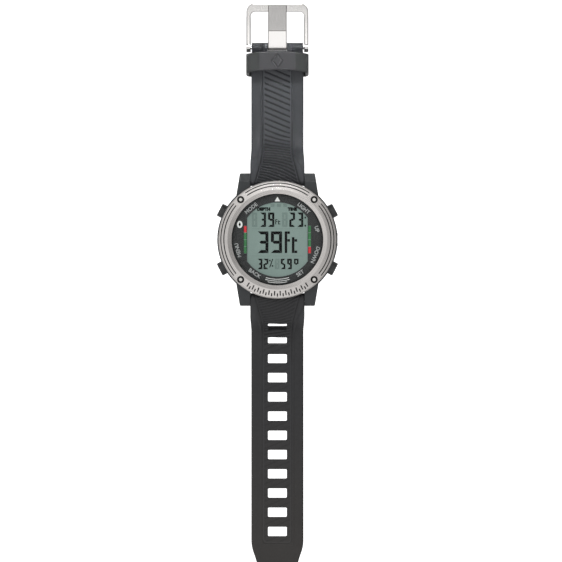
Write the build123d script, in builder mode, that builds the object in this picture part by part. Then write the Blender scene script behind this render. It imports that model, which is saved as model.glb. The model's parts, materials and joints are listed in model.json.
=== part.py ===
"""Wrist dive computer with a steel bezel, four pushers and a two-piece rubber strap, laid out flat.

Millimetres. +Z is up, through the display. +Y points along the buckle strap, -Y along the long
slotted strap, +X towards three o'clock. The origin is on the display axis, in the plane of the
back face that the computer rests on.
"""

from build123d import *

import os
from math import cos, radians, sin, sqrt

os.makedirs("parts", exist_ok=True)

# ---------------------------------------------------------------- driving dimensions

# Case and bezel
bezel_radius = 23.75
bezel_opening_radius = 18.45
bezel_crest_radius = 20.1  # where the inner slope meets the shallow top cone
bezel_chamfer = 0.4
bezel_rim_radius = bezel_radius - bezel_chamfer
bezel_lip_z = (14.75, 15.2)  # underside and top of the edge over the glass
case_radius = 24.25
case_bottom_z = 0.6
case_bottom_radius = 22.2
case_flare_z = 4.8  # where the conical bottom reaches the full radius
seat_z = 12.4  # the plane where the bezel meets the case
bezel_peak_z = 16.0
bezel_rim_z = 15.1
cavity_radius = 18.0
floor_thickness = 2.4
floor_top_z = case_bottom_z + floor_thickness
floor_opening_radius = 15.2

# Glass and display stack
glass_radius = 19.2
glass_bottom_z = 12.5
glass_thickness = 2.2
glass_clearance = 0.25
glass_seat_depth = 0.5
window_radius = 15.0
window_half_width = 12.2
strip_slot_x = 12.95
strip_slot_width = 1.1
strip_slot_length = 11.2

# Lugs and spring bars
lug_gap = 21.9
lug_tip_y = 26.7
lug_tip_half_width = 15.1
lug_root_half_width = 16.6
lug_root_y = 17.6
lug_tip_z = (6.4, 10.9)  # bottom and top of a lug at its tip
lug_bottom_z = 2.4
lug_top_slope = 3.4  # how far from the tip the top starts to slope down
lug_undercut = 5.2  # how far from the tip the underside is undercut
pocket_wall_y = 21.0
pocket_length = 20.0
bar_y = 24.3
bar_z = 9.0
bar_radius = 0.9
bar_tip_radius = 0.5
bar_tip_reach = 13.2
bar_hole_radius = 0.55
bar_hole_reach = 13.4

# Pushers
pusher_angles = {
    "upper_right": 27.5,
    "upper_left": 152.5,
    "lower_left": 207.5,
    "lower_right": 332.5,
}
pusher_z = 9.2
pusher_radius = 2.75
pusher_face_r = 26.25  # distance from the display axis to the outer face
pusher_pocket_r = 20.6
pusher_skirt_r = 22.6  # inner end of the cap
sleeve_radius = 1.8
stem_radius = 1.0
stem_tip_r = 16.95

# Strap
strap_thickness = 2.7
strap_width = 21.0
strap_root_width = 21.6
strap_top_z = 12.3  # top of the strap where it leaves the case
bend_start_y = 29.7
bend_angle = 48.0
crest_radius = 6.0
foot_radius = 17.5
knuckle_radius = 2.7
shoulder_radius = 3.3
buckle_strap_z = 1.6  # underside of the buckle strap, lifted by the keeper
long_strap_z = 0.0
slot_width = 7.8
slot_height = 4.0
slot_corner = 0.6
slot_pitch = 7.75
last_slot_y = 117.6
slots_on_root = 3
slots_per_section = 2
flex_sections = 4
taper_start_y = 121.0
tail_tip_y = 137.5
tail_tip_half_width = 6.6
tail_nose = 1.9  # how far the tip's arc stands out

# Buckle and keeper
buckle_flex_y = (48.5, 56.5)
pin_y = 77.4
pin_radius = 0.75
buckle_half_width = 12.5
buckle_side_width = 1.75
buckle_thickness = 2.6
buckle_end_y = 95.2
crossbar_width = 3.4
prong_width = 7.5
prong_thickness = 1.2
prong_notch = 8.0
strap_end_width = 20.6
strap_end_radius = 1.9
keeper_foot_y = (65.6, 74.4)  # near and far edges where it lies under the strap
keeper_head_y = (68.3, 75.9)  # near and far edges across its top, which leans to the buckle
keeper_half_width = 12.6
keeper_wall = 1.4
keeper_bottom_z = 0.1

# Back cover and battery cap
cover_radius = 20.3
cover_thickness = 1.6
cover_bore_radius = 14.3
cover_screw_circle = 18.6
cover_gasket_radii = (16.05, 16.85)
cover_gasket_height = 0.68
cap_radius = 14.2
cap_thickness = 1.5
cap_lug_radius = 15.0
cap_lug_angle = 30.0
cell_radius = 12.25
cell_thickness = 5.0
cell_bottom_z = 1.75

# Circuit board
board_bottom_z = 7.5
board_thickness = 0.8
board_top_z = board_bottom_z + board_thickness
board_radius = 17.6

# Pressure sensor and water contacts
sensor_z = 7.0
sensor_radius = 1.8
contact_half_spacing = 2.0
contact_radius = 0.78

# Fasteners
screw_shank_radius = 0.78
tapped_hole_radius = 0.8
clearance_hole_radius = 0.85
screw_seat_z = 14.3
screw_recess_radius = 1.45
screw_head_radius = 1.0
screw_head_height = 0.85
screw_length = 6.2
cover_screw_head_radius = 1.3
cover_screw_head_height = 0.57
bezel_screw_circle = 21.85
bezel_screw_angles = [90 - 42.6, 90 + 42.6, 270 - 42.6, 270 + 42.6]
cover_screw_angles = [45, 135, 225, 315]

running_gap = 0.05
eps = 0.01

# ---------------------------------------------------------------- helpers


def save(part, name):
    """Labels a finished piece and writes it as its own STEP file."""
    part.label = name
    export_step(part, f"parts/{name}.step")


def polar_plane(angle, z):
    """A plane through the display axis whose normal points outwards at this angle; its y is up."""
    return Plane(
        origin=(0, 0, z),
        x_dir=(-sin(radians(angle)), cos(radians(angle)), 0),
        z_dir=(cos(radians(angle)), sin(radians(angle)), 0),
    )


def on_circle(radius, angle, z):
    """The point at this radius, angle and height."""
    return (radius * cos(radians(angle)), radius * sin(radians(angle)), z)


def bezel_top_at(radius):
    """Height of the bezel's shallow conical top at a radius."""
    fall = (bezel_peak_z - bezel_rim_z) / (bezel_rim_radius - bezel_crest_radius)
    return bezel_peak_z - fall * (radius - bezel_crest_radius)


# ---------------------------------------------------------------- case body

with BuildPart() as lug_block:
    with BuildSketch(Plane.XY) as lug_plan:
        with BuildLine():
            Polyline(
                (lug_root_half_width, -lug_root_y),
                (lug_root_half_width, lug_root_y),
                (lug_tip_half_width, lug_tip_y),
                (-lug_tip_half_width, lug_tip_y),
                (-lug_root_half_width, lug_root_y),
                (-lug_root_half_width, -lug_root_y),
                (-lug_tip_half_width, -lug_tip_y),
                (lug_tip_half_width, -lug_tip_y),
                close=True,
            )
        make_face()
    extrude(amount=seat_z)
    # The side view of the lugs: they slope down to the tips and are undercut towards the wrist.
    with BuildSketch(Plane.YZ) as lug_side:
        with BuildLine():
            Polyline(
                (-lug_tip_y, lug_tip_z[0]),
                (-lug_tip_y, lug_tip_z[1]),
                (-lug_tip_y + lug_top_slope, seat_z),
                (lug_tip_y - lug_top_slope, seat_z),
                (lug_tip_y, lug_tip_z[1]),
                (lug_tip_y, lug_tip_z[0]),
                (lug_tip_y - lug_undercut, lug_bottom_z),
                (-lug_tip_y + lug_undercut, lug_bottom_z),
                close=True,
            )
        make_face()
    extrude(amount=lug_root_half_width + 1, both=True, mode=Mode.INTERSECT)
    upright_edges = lug_block.edges().filter_by(Axis.Z)
    fillet(upright_edges.group_by(Axis.Y)[0] + upright_edges.group_by(Axis.Y)[-1], radius=0.5)
    top_edges = lug_block.faces().filter_by(lambda f: f.normal_at().Z > 0.3).edges()
    outer_edges = [e for e in top_edges if abs(e.center().X) > 5 or abs(e.center().Y) > 26]
    fillet(outer_edges, radius=0.4)

with BuildPart() as case_body:
    with BuildSketch(Plane.XZ) as barrel_profile:
        with BuildLine():
            Polyline(
                (0, case_bottom_z),
                (case_bottom_radius, case_bottom_z),
                (case_radius, case_flare_z),
                (case_radius, seat_z - 0.3),
                (case_radius - 0.3, seat_z),
                (0, seat_z),
                close=True,
            )
        make_face()
    revolve(axis=Axis.Z)
    add(lug_block.part)
    # Pockets that hold the strap ends between the lugs
    for side in (1, -1):
        with Locations((0, side * (pocket_wall_y + pocket_length / 2), seat_z / 2)):
            Box(lug_gap, pocket_length, seat_z + 1, mode=Mode.SUBTRACT)
    # Main cavity, open at the top, with the seat of the glass gasket
    with Locations((0, 0, floor_top_z)):
        Cylinder(
            cavity_radius,
            seat_z,
            align=(Align.CENTER, Align.CENTER, Align.MIN),
            mode=Mode.SUBTRACT,
        )
    with Locations((0, 0, seat_z - glass_seat_depth)):
        Cylinder(
            glass_radius + glass_clearance,
            seat_z,
            align=(Align.CENTER, Align.CENTER, Align.MIN),
            mode=Mode.SUBTRACT,
        )
    # Battery opening and the recess of the back cover
    with Locations((0, 0, 0)):
        Cylinder(floor_opening_radius, 10, mode=Mode.SUBTRACT)
        Cylinder(cover_radius + 0.1, 2 * cover_thickness, mode=Mode.SUBTRACT)
    # Groove of the back cover gasket
    with BuildSketch(Plane.XY.offset(cover_thickness)) as gasket_groove:
        Circle(cover_gasket_radii[1] + running_gap)
        Circle(cover_gasket_radii[0] - running_gap, mode=Mode.SUBTRACT)
    extrude(amount=cover_gasket_height + 0.02, mode=Mode.SUBTRACT)
    # Tapped holes for the bezel screws and the back cover screws
    for angle in bezel_screw_angles:
        with Locations(on_circle(bezel_screw_circle, angle, seat_z - 2.5)):
            Cylinder(tapped_hole_radius, 5, mode=Mode.SUBTRACT)
    for angle in cover_screw_angles:
        with Locations(on_circle(cover_screw_circle, angle, cover_thickness + 2)):
            Cylinder(tapped_hole_radius, 4, mode=Mode.SUBTRACT)
    # Pusher bores: an outer pocket for the cap and spring, an inner bore for the sleeve
    for angle in pusher_angles.values():
        with BuildSketch(polar_plane(angle, pusher_z).offset(pusher_pocket_r)):
            Circle(pusher_radius + 0.1)
        extrude(amount=8, mode=Mode.SUBTRACT)
        with BuildSketch(polar_plane(angle, pusher_z).offset(cavity_radius - 3)):
            Circle(sleeve_radius)
        extrude(amount=pusher_pocket_r - cavity_radius + 3, mode=Mode.SUBTRACT)
    # Pressure sensor bore at nine o'clock, with three small water ports
    with BuildSketch(polar_plane(180, sensor_z).offset(cavity_radius - 3)):
        Circle(sensor_radius + running_gap)
    extrude(amount=6.4, mode=Mode.SUBTRACT)
    with BuildSketch(polar_plane(180, sensor_z).offset(cavity_radius)):
        with PolarLocations(1.0, 3, start_angle=90):
            Circle(0.45)
    extrude(amount=10, mode=Mode.SUBTRACT)
    # Bores of the two water contacts at three o'clock
    with BuildSketch(polar_plane(0, sensor_z).offset(cavity_radius - 3)):
        with Locations((-contact_half_spacing, 0), (contact_half_spacing, 0)):
            Circle(contact_radius + 0.02)
    extrude(amount=12, mode=Mode.SUBTRACT)
    # Blind holes in the lugs for the tips of the spring bars
    for side in (1, -1):
        with BuildSketch(Plane.YZ) as bar_hole:
            with Locations((side * bar_y, bar_z)):
                Circle(bar_hole_radius)
        extrude(amount=bar_hole_reach, both=True, mode=Mode.SUBTRACT)

save(case_body.part, "case_body")

# ---------------------------------------------------------------- bezel

groove_radii = (22.75, 21.55)
groove_width = 0.42
groove_depth = 0.3
groove_arcs = [(90, 34.5), (0, 39.5), (180, 39.5)]  # centre and half angle of each group
tick_count = 23
tick_half_angle = 33.0
tick_end_radius = 22.95
tick_lengths = (2.4, 1.3)  # long and short ticks take turns

with BuildPart() as bezel:
    with BuildSketch(Plane.XZ) as bezel_profile:
        with BuildLine():
            Polyline(
                (glass_radius + glass_clearance, seat_z),
                (bezel_radius, seat_z),
                (bezel_radius, bezel_rim_z - bezel_chamfer),
                (bezel_rim_radius, bezel_rim_z),
                (bezel_crest_radius, bezel_peak_z),
                (bezel_opening_radius, bezel_lip_z[1]),
                (bezel_opening_radius, bezel_lip_z[0]),
                (glass_radius + glass_clearance, bezel_lip_z[0]),
                close=True,
            )
        make_face()
    revolve(axis=Axis.Z)
    # Two concentric grooves, cut as arcs over the top, the left and the right
    for centre, half in groove_arcs:
        for radius in groove_radii:
            start = Plane.XZ.rotated((0, 0, centre - half))
            with BuildSketch(start):
                with Locations((radius, bezel_top_at(radius) - groove_depth)):
                    Rectangle(groove_width, 2, align=(Align.CENTER, Align.MIN))
            revolve(axis=Axis.Z, revolution_arc=2 * half, mode=Mode.SUBTRACT)
    # A graduated scale of short radial cuts at six o'clock
    for i in range(tick_count):
        angle = 270 - tick_half_angle + 2 * tick_half_angle * i / (tick_count - 1)
        length = tick_lengths[i % 2]
        middle = tick_end_radius - length / 2
        with Locations(Location(on_circle(middle, angle, bezel_top_at(middle)), (0, 0, angle))):
            Box(length, 0.5, 2 * groove_depth, mode=Mode.SUBTRACT)
    # Stepped holes for the four screws
    for angle in bezel_screw_angles:
        with Locations(on_circle(bezel_screw_circle, angle, screw_seat_z)):
            Cylinder(
                screw_recess_radius,
                5,
                align=(Align.CENTER, Align.CENTER, Align.MIN),
                mode=Mode.SUBTRACT,
            )
            Cylinder(clearance_hole_radius, 10, mode=Mode.SUBTRACT)

save(bezel.part, "bezel")

with BuildPart() as bezel_screws:
    for angle in bezel_screw_angles:
        with Locations(on_circle(bezel_screw_circle, angle, screw_seat_z + eps)):
            Cylinder(
                screw_head_radius,
                screw_head_height,
                align=(Align.CENTER, Align.CENTER, Align.MIN),
            )
            Cylinder(
                screw_shank_radius,
                screw_length,
                align=(Align.CENTER, Align.CENTER, Align.MAX),
            )
    head_rims = bezel_screws.edges().filter_by(GeomType.CIRCLE).group_by(Axis.Z)[-1]
    fillet(head_rims, radius=0.25)
    for angle in bezel_screw_angles:
        with BuildSketch(Plane.XY.offset(screw_seat_z + screw_head_height / 2)):
            with Locations(on_circle(bezel_screw_circle, angle, 0)):
                RegularPolygon(screw_head_radius / 2, 6)
        extrude(amount=2, mode=Mode.SUBTRACT)

save(bezel_screws.part, "bezel_screws")

# ---------------------------------------------------------------- glass and display

with BuildPart() as front_glass:
    with BuildSketch(Plane.XY.offset(glass_bottom_z)):
        Circle(glass_radius)
    extrude(amount=glass_thickness)
    chamfer(front_glass.edges().group_by(Axis.Z)[-1], length=0.25)

save(front_glass.part, "front_glass")

with BuildPart() as glass_gasket:
    with BuildSketch(Plane.XY.offset(seat_z - glass_seat_depth)):
        Circle(glass_radius + 0.1)
        Circle(cavity_radius + 0.2, mode=Mode.SUBTRACT)
    extrude(amount=glass_bottom_z - seat_z + glass_seat_depth)

save(glass_gasket.part, "glass_gasket")

mask_bottom_z = 12.12

with BuildPart() as dial_mask:
    with BuildSketch(Plane.XY.offset(mask_bottom_z)):
        Circle(cavity_radius - 0.1)
        with BuildSketch(mode=Mode.PRIVATE) as window:
            Circle(window_radius)
            Rectangle(2 * window_half_width, 40, mode=Mode.INTERSECT)
        add(window.sketch, mode=Mode.SUBTRACT)
        with Locations((strip_slot_x, 0), (-strip_slot_x, 0)):
            Rectangle(strip_slot_width, strip_slot_length, mode=Mode.SUBTRACT)
    extrude(amount=0.3)

save(dial_mask.part, "dial_mask")

lcd_front_half = (13.9, 16.2)
lcd_rear_half = (13.9, 14.1)
lcd_front_bottom_z = 11.15
lcd_top_z = 12.05
lcd_rear_bottom_z = 10.3

with BuildPart() as lcd_panel:
    with BuildSketch(Plane.XY.offset(lcd_front_bottom_z)):
        Rectangle(2 * lcd_front_half[0], 2 * lcd_front_half[1])
        Circle(17.2, mode=Mode.INTERSECT)
    extrude(amount=lcd_top_z - lcd_front_bottom_z)
    with BuildSketch(Plane.XY.offset(lcd_rear_bottom_z)):
        Rectangle(2 * lcd_rear_half[0], 2 * lcd_rear_half[1])
        Circle(17.2, mode=Mode.INTERSECT)
    extrude(amount=lcd_front_bottom_z - lcd_rear_bottom_z)

save(lcd_panel.part, "lcd_panel")

light_guide_half_x = 11.8
light_guide_z = (9.6, 10.25)

with BuildPart() as backlight_guide:
    with BuildSketch(Plane.XY.offset(light_guide_z[0])):
        RectangleRounded(2 * light_guide_half_x, 27.6, 1.0)
        Circle(17.0, mode=Mode.INTERSECT)
    extrude(amount=light_guide_z[1] - light_guide_z[0])

save(backlight_guide.part, "backlight_guide")

zebra_y = 15.15

with BuildPart() as contact_strips:
    with Locations((0, zebra_y, board_top_z + eps), (0, -zebra_y, board_top_z + eps)):
        Box(
            15.0,
            1.3,
            lcd_front_bottom_z - board_top_z - 2 * eps,
            align=(Align.CENTER, Align.CENTER, Align.MIN),
        )

save(contact_strips.part, "contact_strips")

with BuildPart() as display_frame:
    with BuildSketch(Plane.XY.offset(board_top_z + eps)):
        Circle(cavity_radius - 0.2)
    extrude(amount=mask_bottom_z - board_top_z - 2 * eps)
    # Pockets for the display glass, the light guide and the contact strips
    with BuildSketch(Plane.XY.offset(lcd_front_bottom_z - eps)):
        Rectangle(2 * lcd_front_half[0] + 0.2, 2 * lcd_front_half[1] + 0.2)
        Circle(17.25, mode=Mode.INTERSECT)
    extrude(amount=3, mode=Mode.SUBTRACT)
    with BuildSketch(Plane.XY.offset(light_guide_z[0] - eps)):
        Rectangle(2 * lcd_rear_half[0] + 0.2, 2 * lcd_rear_half[1] + 0.2)
        Circle(17.25, mode=Mode.INTERSECT)
    extrude(amount=3, mode=Mode.SUBTRACT)
    with BuildSketch(Plane.XY.offset(board_top_z - 0.1)):
        with Locations((0, zebra_y), (0, -zebra_y)):
            Rectangle(15.2, 1.4)
    extrude(amount=5, mode=Mode.SUBTRACT)
    # Room over the chips in the middle and round the pushers at the rim
    with BuildSketch(Plane.XY.offset(board_top_z - 0.1)):
        Rectangle(22, 26)
    extrude(amount=light_guide_z[0] - board_top_z + 0.2, mode=Mode.SUBTRACT)
    for angle in pusher_angles.values():
        with Locations(Location(on_circle(16.3, angle, pusher_z), (0, 0, angle))):
            Box(4.4, 3.8, 3.4, mode=Mode.SUBTRACT)

save(display_frame.part, "display_frame")

# ---------------------------------------------------------------- electronics

with BuildPart() as circuit_board:
    with BuildSketch(Plane.XY.offset(board_bottom_z)):
        Circle(board_radius)
        for angle in pusher_angles.values():
            with Locations(Location(on_circle(18.4, angle, 0), (0, 0, angle))):
                Rectangle(4.8, 3.6, mode=Mode.SUBTRACT)
        with PolarLocations(16.6, 2, start_angle=0):
            Circle(0.5, mode=Mode.SUBTRACT)
    extrude(amount=board_thickness)

save(circuit_board.part, "circuit_board")

chip_sizes = {  # centre x, centre y, size x, size y, height
    "processor": (-3.0, 2.0, 7.0, 7.0, 0.9),
    "memory": (5.0, 6.0, 4.0, 5.0, 0.8),
    "radio": (5.5, -3.0, 5.0, 5.0, 0.85),
    "crystal": (-6.0, -6.5, 3.2, 1.5, 0.7),
    "regulator": (-1.0, -8.0, 2.9, 1.6, 0.9),
}

with BuildPart() as board_chips:
    for x, y, size_x, size_y, height in chip_sizes.values():
        with Locations((x, y, board_top_z)):
            Box(size_x, size_y, height, align=(Align.CENTER, Align.CENTER, Align.MIN))
    chamfer(board_chips.edges().filter_by(Axis.Z), length=0.15)

save(board_chips.part, "board_chips")

with BuildPart() as radio_antenna:
    with Locations((7.2, -9.6, board_top_z)):
        Box(7.0, 1.9, 1.1, align=(Align.CENTER, Align.CENTER, Align.MIN))

save(radio_antenna.part, "radio_antenna")

switch_inner_r = 14.4
switch_face_r = stem_tip_r - 0.85

with BuildPart() as button_switches:
    for angle in pusher_angles.values():
        middle = (switch_inner_r + switch_face_r) / 2
        with Locations(Location(on_circle(middle, angle, board_top_z), (0, 0, angle))):
            Box(
                switch_face_r - switch_inner_r,
                3.2,
                1.8,
                align=(Align.CENTER, Align.CENTER, Align.MIN),
            )

save(button_switches.part, "button_switches")

with BuildPart() as pressure_sensor:
    with BuildSketch(polar_plane(180, sensor_z).offset(cavity_radius + 0.1)):
        Circle(sensor_radius)
    extrude(amount=3.2)
    with BuildSketch(polar_plane(180, sensor_z).offset(cavity_radius + 2.7)):
        Circle(1.2)
    extrude(amount=2, mode=Mode.SUBTRACT)

save(pressure_sensor.part, "pressure_sensor")

with BuildPart() as water_contacts:
    with BuildSketch(polar_plane(0, sensor_z).offset(cavity_radius - 0.5)):
        with Locations((-contact_half_spacing, 0), (contact_half_spacing, 0)):
            Circle(contact_radius)
    extrude(amount=case_radius - cavity_radius + 0.55)
    contact_tips = water_contacts.edges().group_by(Axis.X)[-1]
    fillet(contact_tips, radius=0.2)

save(water_contacts.part, "water_contacts")

with BuildPart() as buzzer_disc:
    with Locations((0, 0, board_bottom_z - 0.02)):
        Cylinder(6.0, 0.25, align=(Align.CENTER, Align.CENTER, Align.MAX))

save(buzzer_disc.part, "buzzer_disc")

# ---------------------------------------------------------------- battery and back

with BuildPart() as battery_tray:
    with BuildSketch(Plane.XY.offset(2.5)):
        Circle(floor_opening_radius - 0.1)
        Circle(cell_radius + 0.15, mode=Mode.SUBTRACT)
    extrude(amount=board_bottom_z - 2.5 - eps)
    # Finger notches to lift the cell out, and a slot for the contact's leg
    with Locations((0, 0, 2.5)):
        Box(9, 40, 2.4, mode=Mode.SUBTRACT)
    with Locations((-cell_radius - 1.4, 0, board_bottom_z)):
        Box(3.4, 3.2, 1.6, mode=Mode.SUBTRACT)

save(battery_tray.part, "battery_tray")

with BuildPart() as battery_cell:
    with BuildSketch(Plane.XY.offset(cell_bottom_z + 0.4)):
        Circle(cell_radius)
    extrude(amount=cell_thickness - 0.4)
    chamfer(battery_cell.edges().group_by(Axis.Z)[-1], length=0.3)
    with BuildSketch(Plane.XY.offset(cell_bottom_z)):
        Circle(cell_radius - 1.2)
    extrude(amount=0.4)

save(battery_cell.part, "battery_cell")

with BuildPart() as positive_contact:
    with BuildSketch(Plane.XY.offset(cell_bottom_z + cell_thickness + eps)):
        Rectangle(19.5, 3.0)
        Circle(4.0)
        Circle(2.4, mode=Mode.SUBTRACT)
        with Locations((-11.6, 0)):
            Rectangle(5.4, 2.6)
    extrude(amount=0.2)

save(positive_contact.part, "positive_contact")

with BuildPart() as back_cover:
    with BuildSketch(Plane.XY):
        Circle(cover_radius)
        Circle(cover_bore_radius, mode=Mode.SUBTRACT)
    extrude(amount=cover_thickness)
    # Entry notches for the lugs of the battery cap, a sixth of a turn from where it locks
    for k in range(3):
        start = Plane.XZ.rotated((0, 0, 60 + 120 * k - cap_lug_angle / 2 - 2))
        with BuildSketch(start):
            with Locations((cover_bore_radius - 0.5, -0.5)):
                Rectangle(0.6 + 0.7, 4, align=(Align.MIN, Align.MIN))
        revolve(axis=Axis.Z, revolution_arc=cap_lug_angle + 4, mode=Mode.SUBTRACT)
    for angle in cover_screw_angles:
        with Locations(on_circle(cover_screw_circle, angle, 0)):
            Cylinder(clearance_hole_radius, 5, mode=Mode.SUBTRACT)
        with BuildSketch(Plane.XY) as cone_mouth:
            with Locations(on_circle(cover_screw_circle, angle, 0)):
                Circle(cover_screw_head_radius + running_gap)
        extrude(amount=cover_screw_head_height + 0.03, taper=40, mode=Mode.SUBTRACT)

save(back_cover.part, "back_cover")

with BuildPart() as back_cover_gasket:
    with BuildSketch(Plane.XY.offset(cover_thickness)):
        Circle(cover_gasket_radii[1])
        Circle(cover_gasket_radii[0], mode=Mode.SUBTRACT)
    extrude(amount=cover_gasket_height)

save(back_cover_gasket.part, "back_cover_gasket")

with BuildPart() as back_cover_screws:
    for angle in cover_screw_angles:
        with BuildSketch(Plane.XY.offset(0.03)):
            with Locations(on_circle(cover_screw_circle, angle, 0)):
                Circle(cover_screw_head_radius)
        extrude(amount=cover_screw_head_height, taper=40)
        with Locations(on_circle(cover_screw_circle, angle, 0.5)):
            Cylinder(
                screw_shank_radius, 4.6, align=(Align.CENTER, Align.CENTER, Align.MIN)
            )
        with Locations(Location(on_circle(cover_screw_circle, angle, 0), (0, 0, angle))):
            Box(2.1, 0.4, 0.7, mode=Mode.SUBTRACT)
            Box(0.4, 2.1, 0.7, mode=Mode.SUBTRACT)

save(back_cover_screws.part, "back_cover_screws")

with BuildPart() as battery_cap:
    with BuildSketch(Plane.XY):
        Circle(cap_radius)
    extrude(amount=cap_thickness)
    # Groove of the cap seal
    with BuildSketch(Plane.XZ):
        with Locations((13.5, 0.8)):
            Rectangle(2, 0.7, align=(Align.MIN, Align.CENTER))
    revolve(axis=Axis.Z, mode=Mode.SUBTRACT)
    # Raised ring and the three bayonet lugs that lock behind the back cover
    with BuildSketch(Plane.XY.offset(cap_thickness)):
        Circle(cap_radius)
        Circle(cell_radius + 0.4, mode=Mode.SUBTRACT)
    extrude(amount=0.9)
    for k in range(3):
        start = Plane.XZ.rotated((0, 0, 120 * k - cap_lug_angle / 2))
        with BuildSketch(start):
            with Locations((cap_radius - 1.0, cover_thickness + 0.05)):
                Rectangle(cap_lug_radius - cap_radius + 1.0, 0.7, align=(Align.MIN, Align.MIN))
        revolve(axis=Axis.Z, revolution_arc=cap_lug_angle)
    # Two blind holes for a pin wrench
    with Locations((9.6, 0, 0), (-9.6, 0, 0)):
        Cylinder(1.1, 1.8, mode=Mode.SUBTRACT)

save(battery_cap.part, "battery_cap")

with BuildPart() as battery_cap_seal:
    with Locations((0, 0, 0.8)):
        Torus(13.93, 0.31)

save(battery_cap_seal.part, "battery_cap_seal")

with BuildPart() as negative_contact:
    with BuildSketch(Plane.XY.offset(cap_thickness)):
        Circle(7.5)
        Circle(5.0, mode=Mode.SUBTRACT)
    extrude(amount=cell_bottom_z - cap_thickness - eps)

save(negative_contact.part, "negative_contact")

# ---------------------------------------------------------------- pushers

sleeve_inner_r = cavity_radius + 0.1
spring_wire_radius = 0.15
spring_coil_radius = 1.58
spring_turns = 5
clip_r = 17.5
seal_r = 19.35
spring_pocket_r = 24.8  # where the spring bears on the inside of the cap

with BuildPart() as button_sleeves:
    for angle in pusher_angles.values():
        with BuildSketch(polar_plane(angle, pusher_z).offset(sleeve_inner_r)):
            Circle(sleeve_radius)
            Circle(stem_radius + 0.04, mode=Mode.SUBTRACT)
        extrude(amount=pusher_pocket_r - sleeve_inner_r)
        # Groove that holds the pusher's seal
        with BuildSketch(polar_plane(angle, pusher_z).offset(seal_r - 0.3)):
            Circle(1.5)
        extrude(amount=0.6, mode=Mode.SUBTRACT)

save(button_sleeves.part, "button_sleeves")

with BuildPart() as button_seals:
    for angle in pusher_angles.values():
        with Locations(polar_plane(angle, pusher_z).offset(seal_r)):
            Torus(1.25, 0.235)

save(button_seals.part, "button_seals")


for place, angle in pusher_angles.items():
    coil_base = polar_plane(angle, pusher_z).offset(pusher_pocket_r + spring_wire_radius + eps)
    coil_height = spring_pocket_r - pusher_pocket_r - 2 * (spring_wire_radius + eps)
    with BuildPart() as spring:
        with BuildLine() as coil:
            Helix(
                coil_height / spring_turns,
                coil_height,
                spring_coil_radius,
                center=coil_base.origin,
                direction=coil_base.z_dir,
            )
        with BuildSketch(Plane(origin=coil.line @ 0, z_dir=coil.line % 0)):
            Circle(spring_wire_radius)
        sweep(path=coil.line, is_frenet=True)
    save(spring.part, f"{place}_button_spring")

    with BuildPart() as pusher:
        with BuildSketch(polar_plane(angle, pusher_z).offset(pusher_skirt_r)):
            Circle(pusher_radius)
        extrude(amount=pusher_face_r - pusher_skirt_r)
        outer_face = pusher.faces().sort_by(Axis((0, 0, 0), on_circle(1, angle, 0)))[-1]
        fillet(outer_face.edges(), radius=0.5)
        # Hollow for the spring, with the stem standing in it
        with BuildSketch(polar_plane(angle, pusher_z).offset(pusher_skirt_r - 0.5)):
            Circle(1.95)
        extrude(amount=spring_pocket_r - pusher_skirt_r + 0.5, mode=Mode.SUBTRACT)
        with BuildSketch(polar_plane(angle, pusher_z).offset(stem_tip_r)):
            Circle(stem_radius)
        extrude(amount=spring_pocket_r + 0.1 - stem_tip_r)
        # Groove of the retaining clip
        with BuildSketch(polar_plane(angle, pusher_z).offset(clip_r - 0.2)):
            Circle(stem_radius + 1)
            Circle(0.72, mode=Mode.SUBTRACT)
        extrude(amount=0.4, mode=Mode.SUBTRACT)
    save(pusher.part, f"{place}_button")

    with BuildPart() as clip:
        with BuildSketch(polar_plane(angle, pusher_z).offset(clip_r - 0.17)):
            Circle(1.5)
            Circle(0.74, mode=Mode.SUBTRACT)
            with Locations((0, -1.2)):
                Rectangle(0.9, 1.6, mode=Mode.SUBTRACT)
        extrude(amount=0.34)
    save(clip.part, f"{place}_button_clip")

# ---------------------------------------------------------------- spring bars


def spring_bar(y, name):
    """A sprung bar across the strap: a barrel and two tips that seat in blind holes."""
    barrel_half = lug_gap / 2 - 0.1
    with BuildPart() as bar:
        with BuildSketch(Plane.XY) as bar_profile:
            with BuildLine():
                Polyline(
                    (0, 0),
                    (0, bar_radius),
                    (barrel_half, bar_radius),
                    (barrel_half, bar_tip_radius),
                    (bar_tip_reach - 0.2, bar_tip_radius),
                    (bar_tip_reach, bar_tip_radius - 0.2),
                    (bar_tip_reach, 0),
                    close=True,
                )
            make_face()
        revolve(axis=Axis.X)
        mirror(about=Plane.YZ)
    save(bar.part.moved(Location((0, y, bar_z))), name)


spring_bar(bar_y, "buckle_side_spring_bar")
spring_bar(-bar_y, "long_side_spring_bar")

# ---------------------------------------------------------------- strap

slots_y = [last_slot_y - slot_pitch * k for k in range(10)][::-1]  # all but two on the bend
heel_angle = -50  # where the strap's underside leaves the knuckle
foot_mid_radius = foot_radius + strap_thickness / 2


def bend_points(flat_z):
    """Corner points of the strap's top line, from the lug down to where it lies flat."""
    turn = radians(bend_angle)
    drop = strap_top_z - strap_thickness - flat_z
    straight = (drop - (crest_radius + foot_radius) * (1 - cos(turn))) / sin(turn)
    crest_end = (
        bend_start_y + crest_radius * sin(turn),
        strap_top_z - crest_radius * (1 - cos(turn)),
    )
    foot_start = (crest_end[0] + straight * cos(turn), crest_end[1] - straight * sin(turn))
    foot_end = (foot_start[0] + foot_radius * sin(turn), flat_z + strap_thickness)
    return crest_end, foot_start, foot_end


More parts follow.
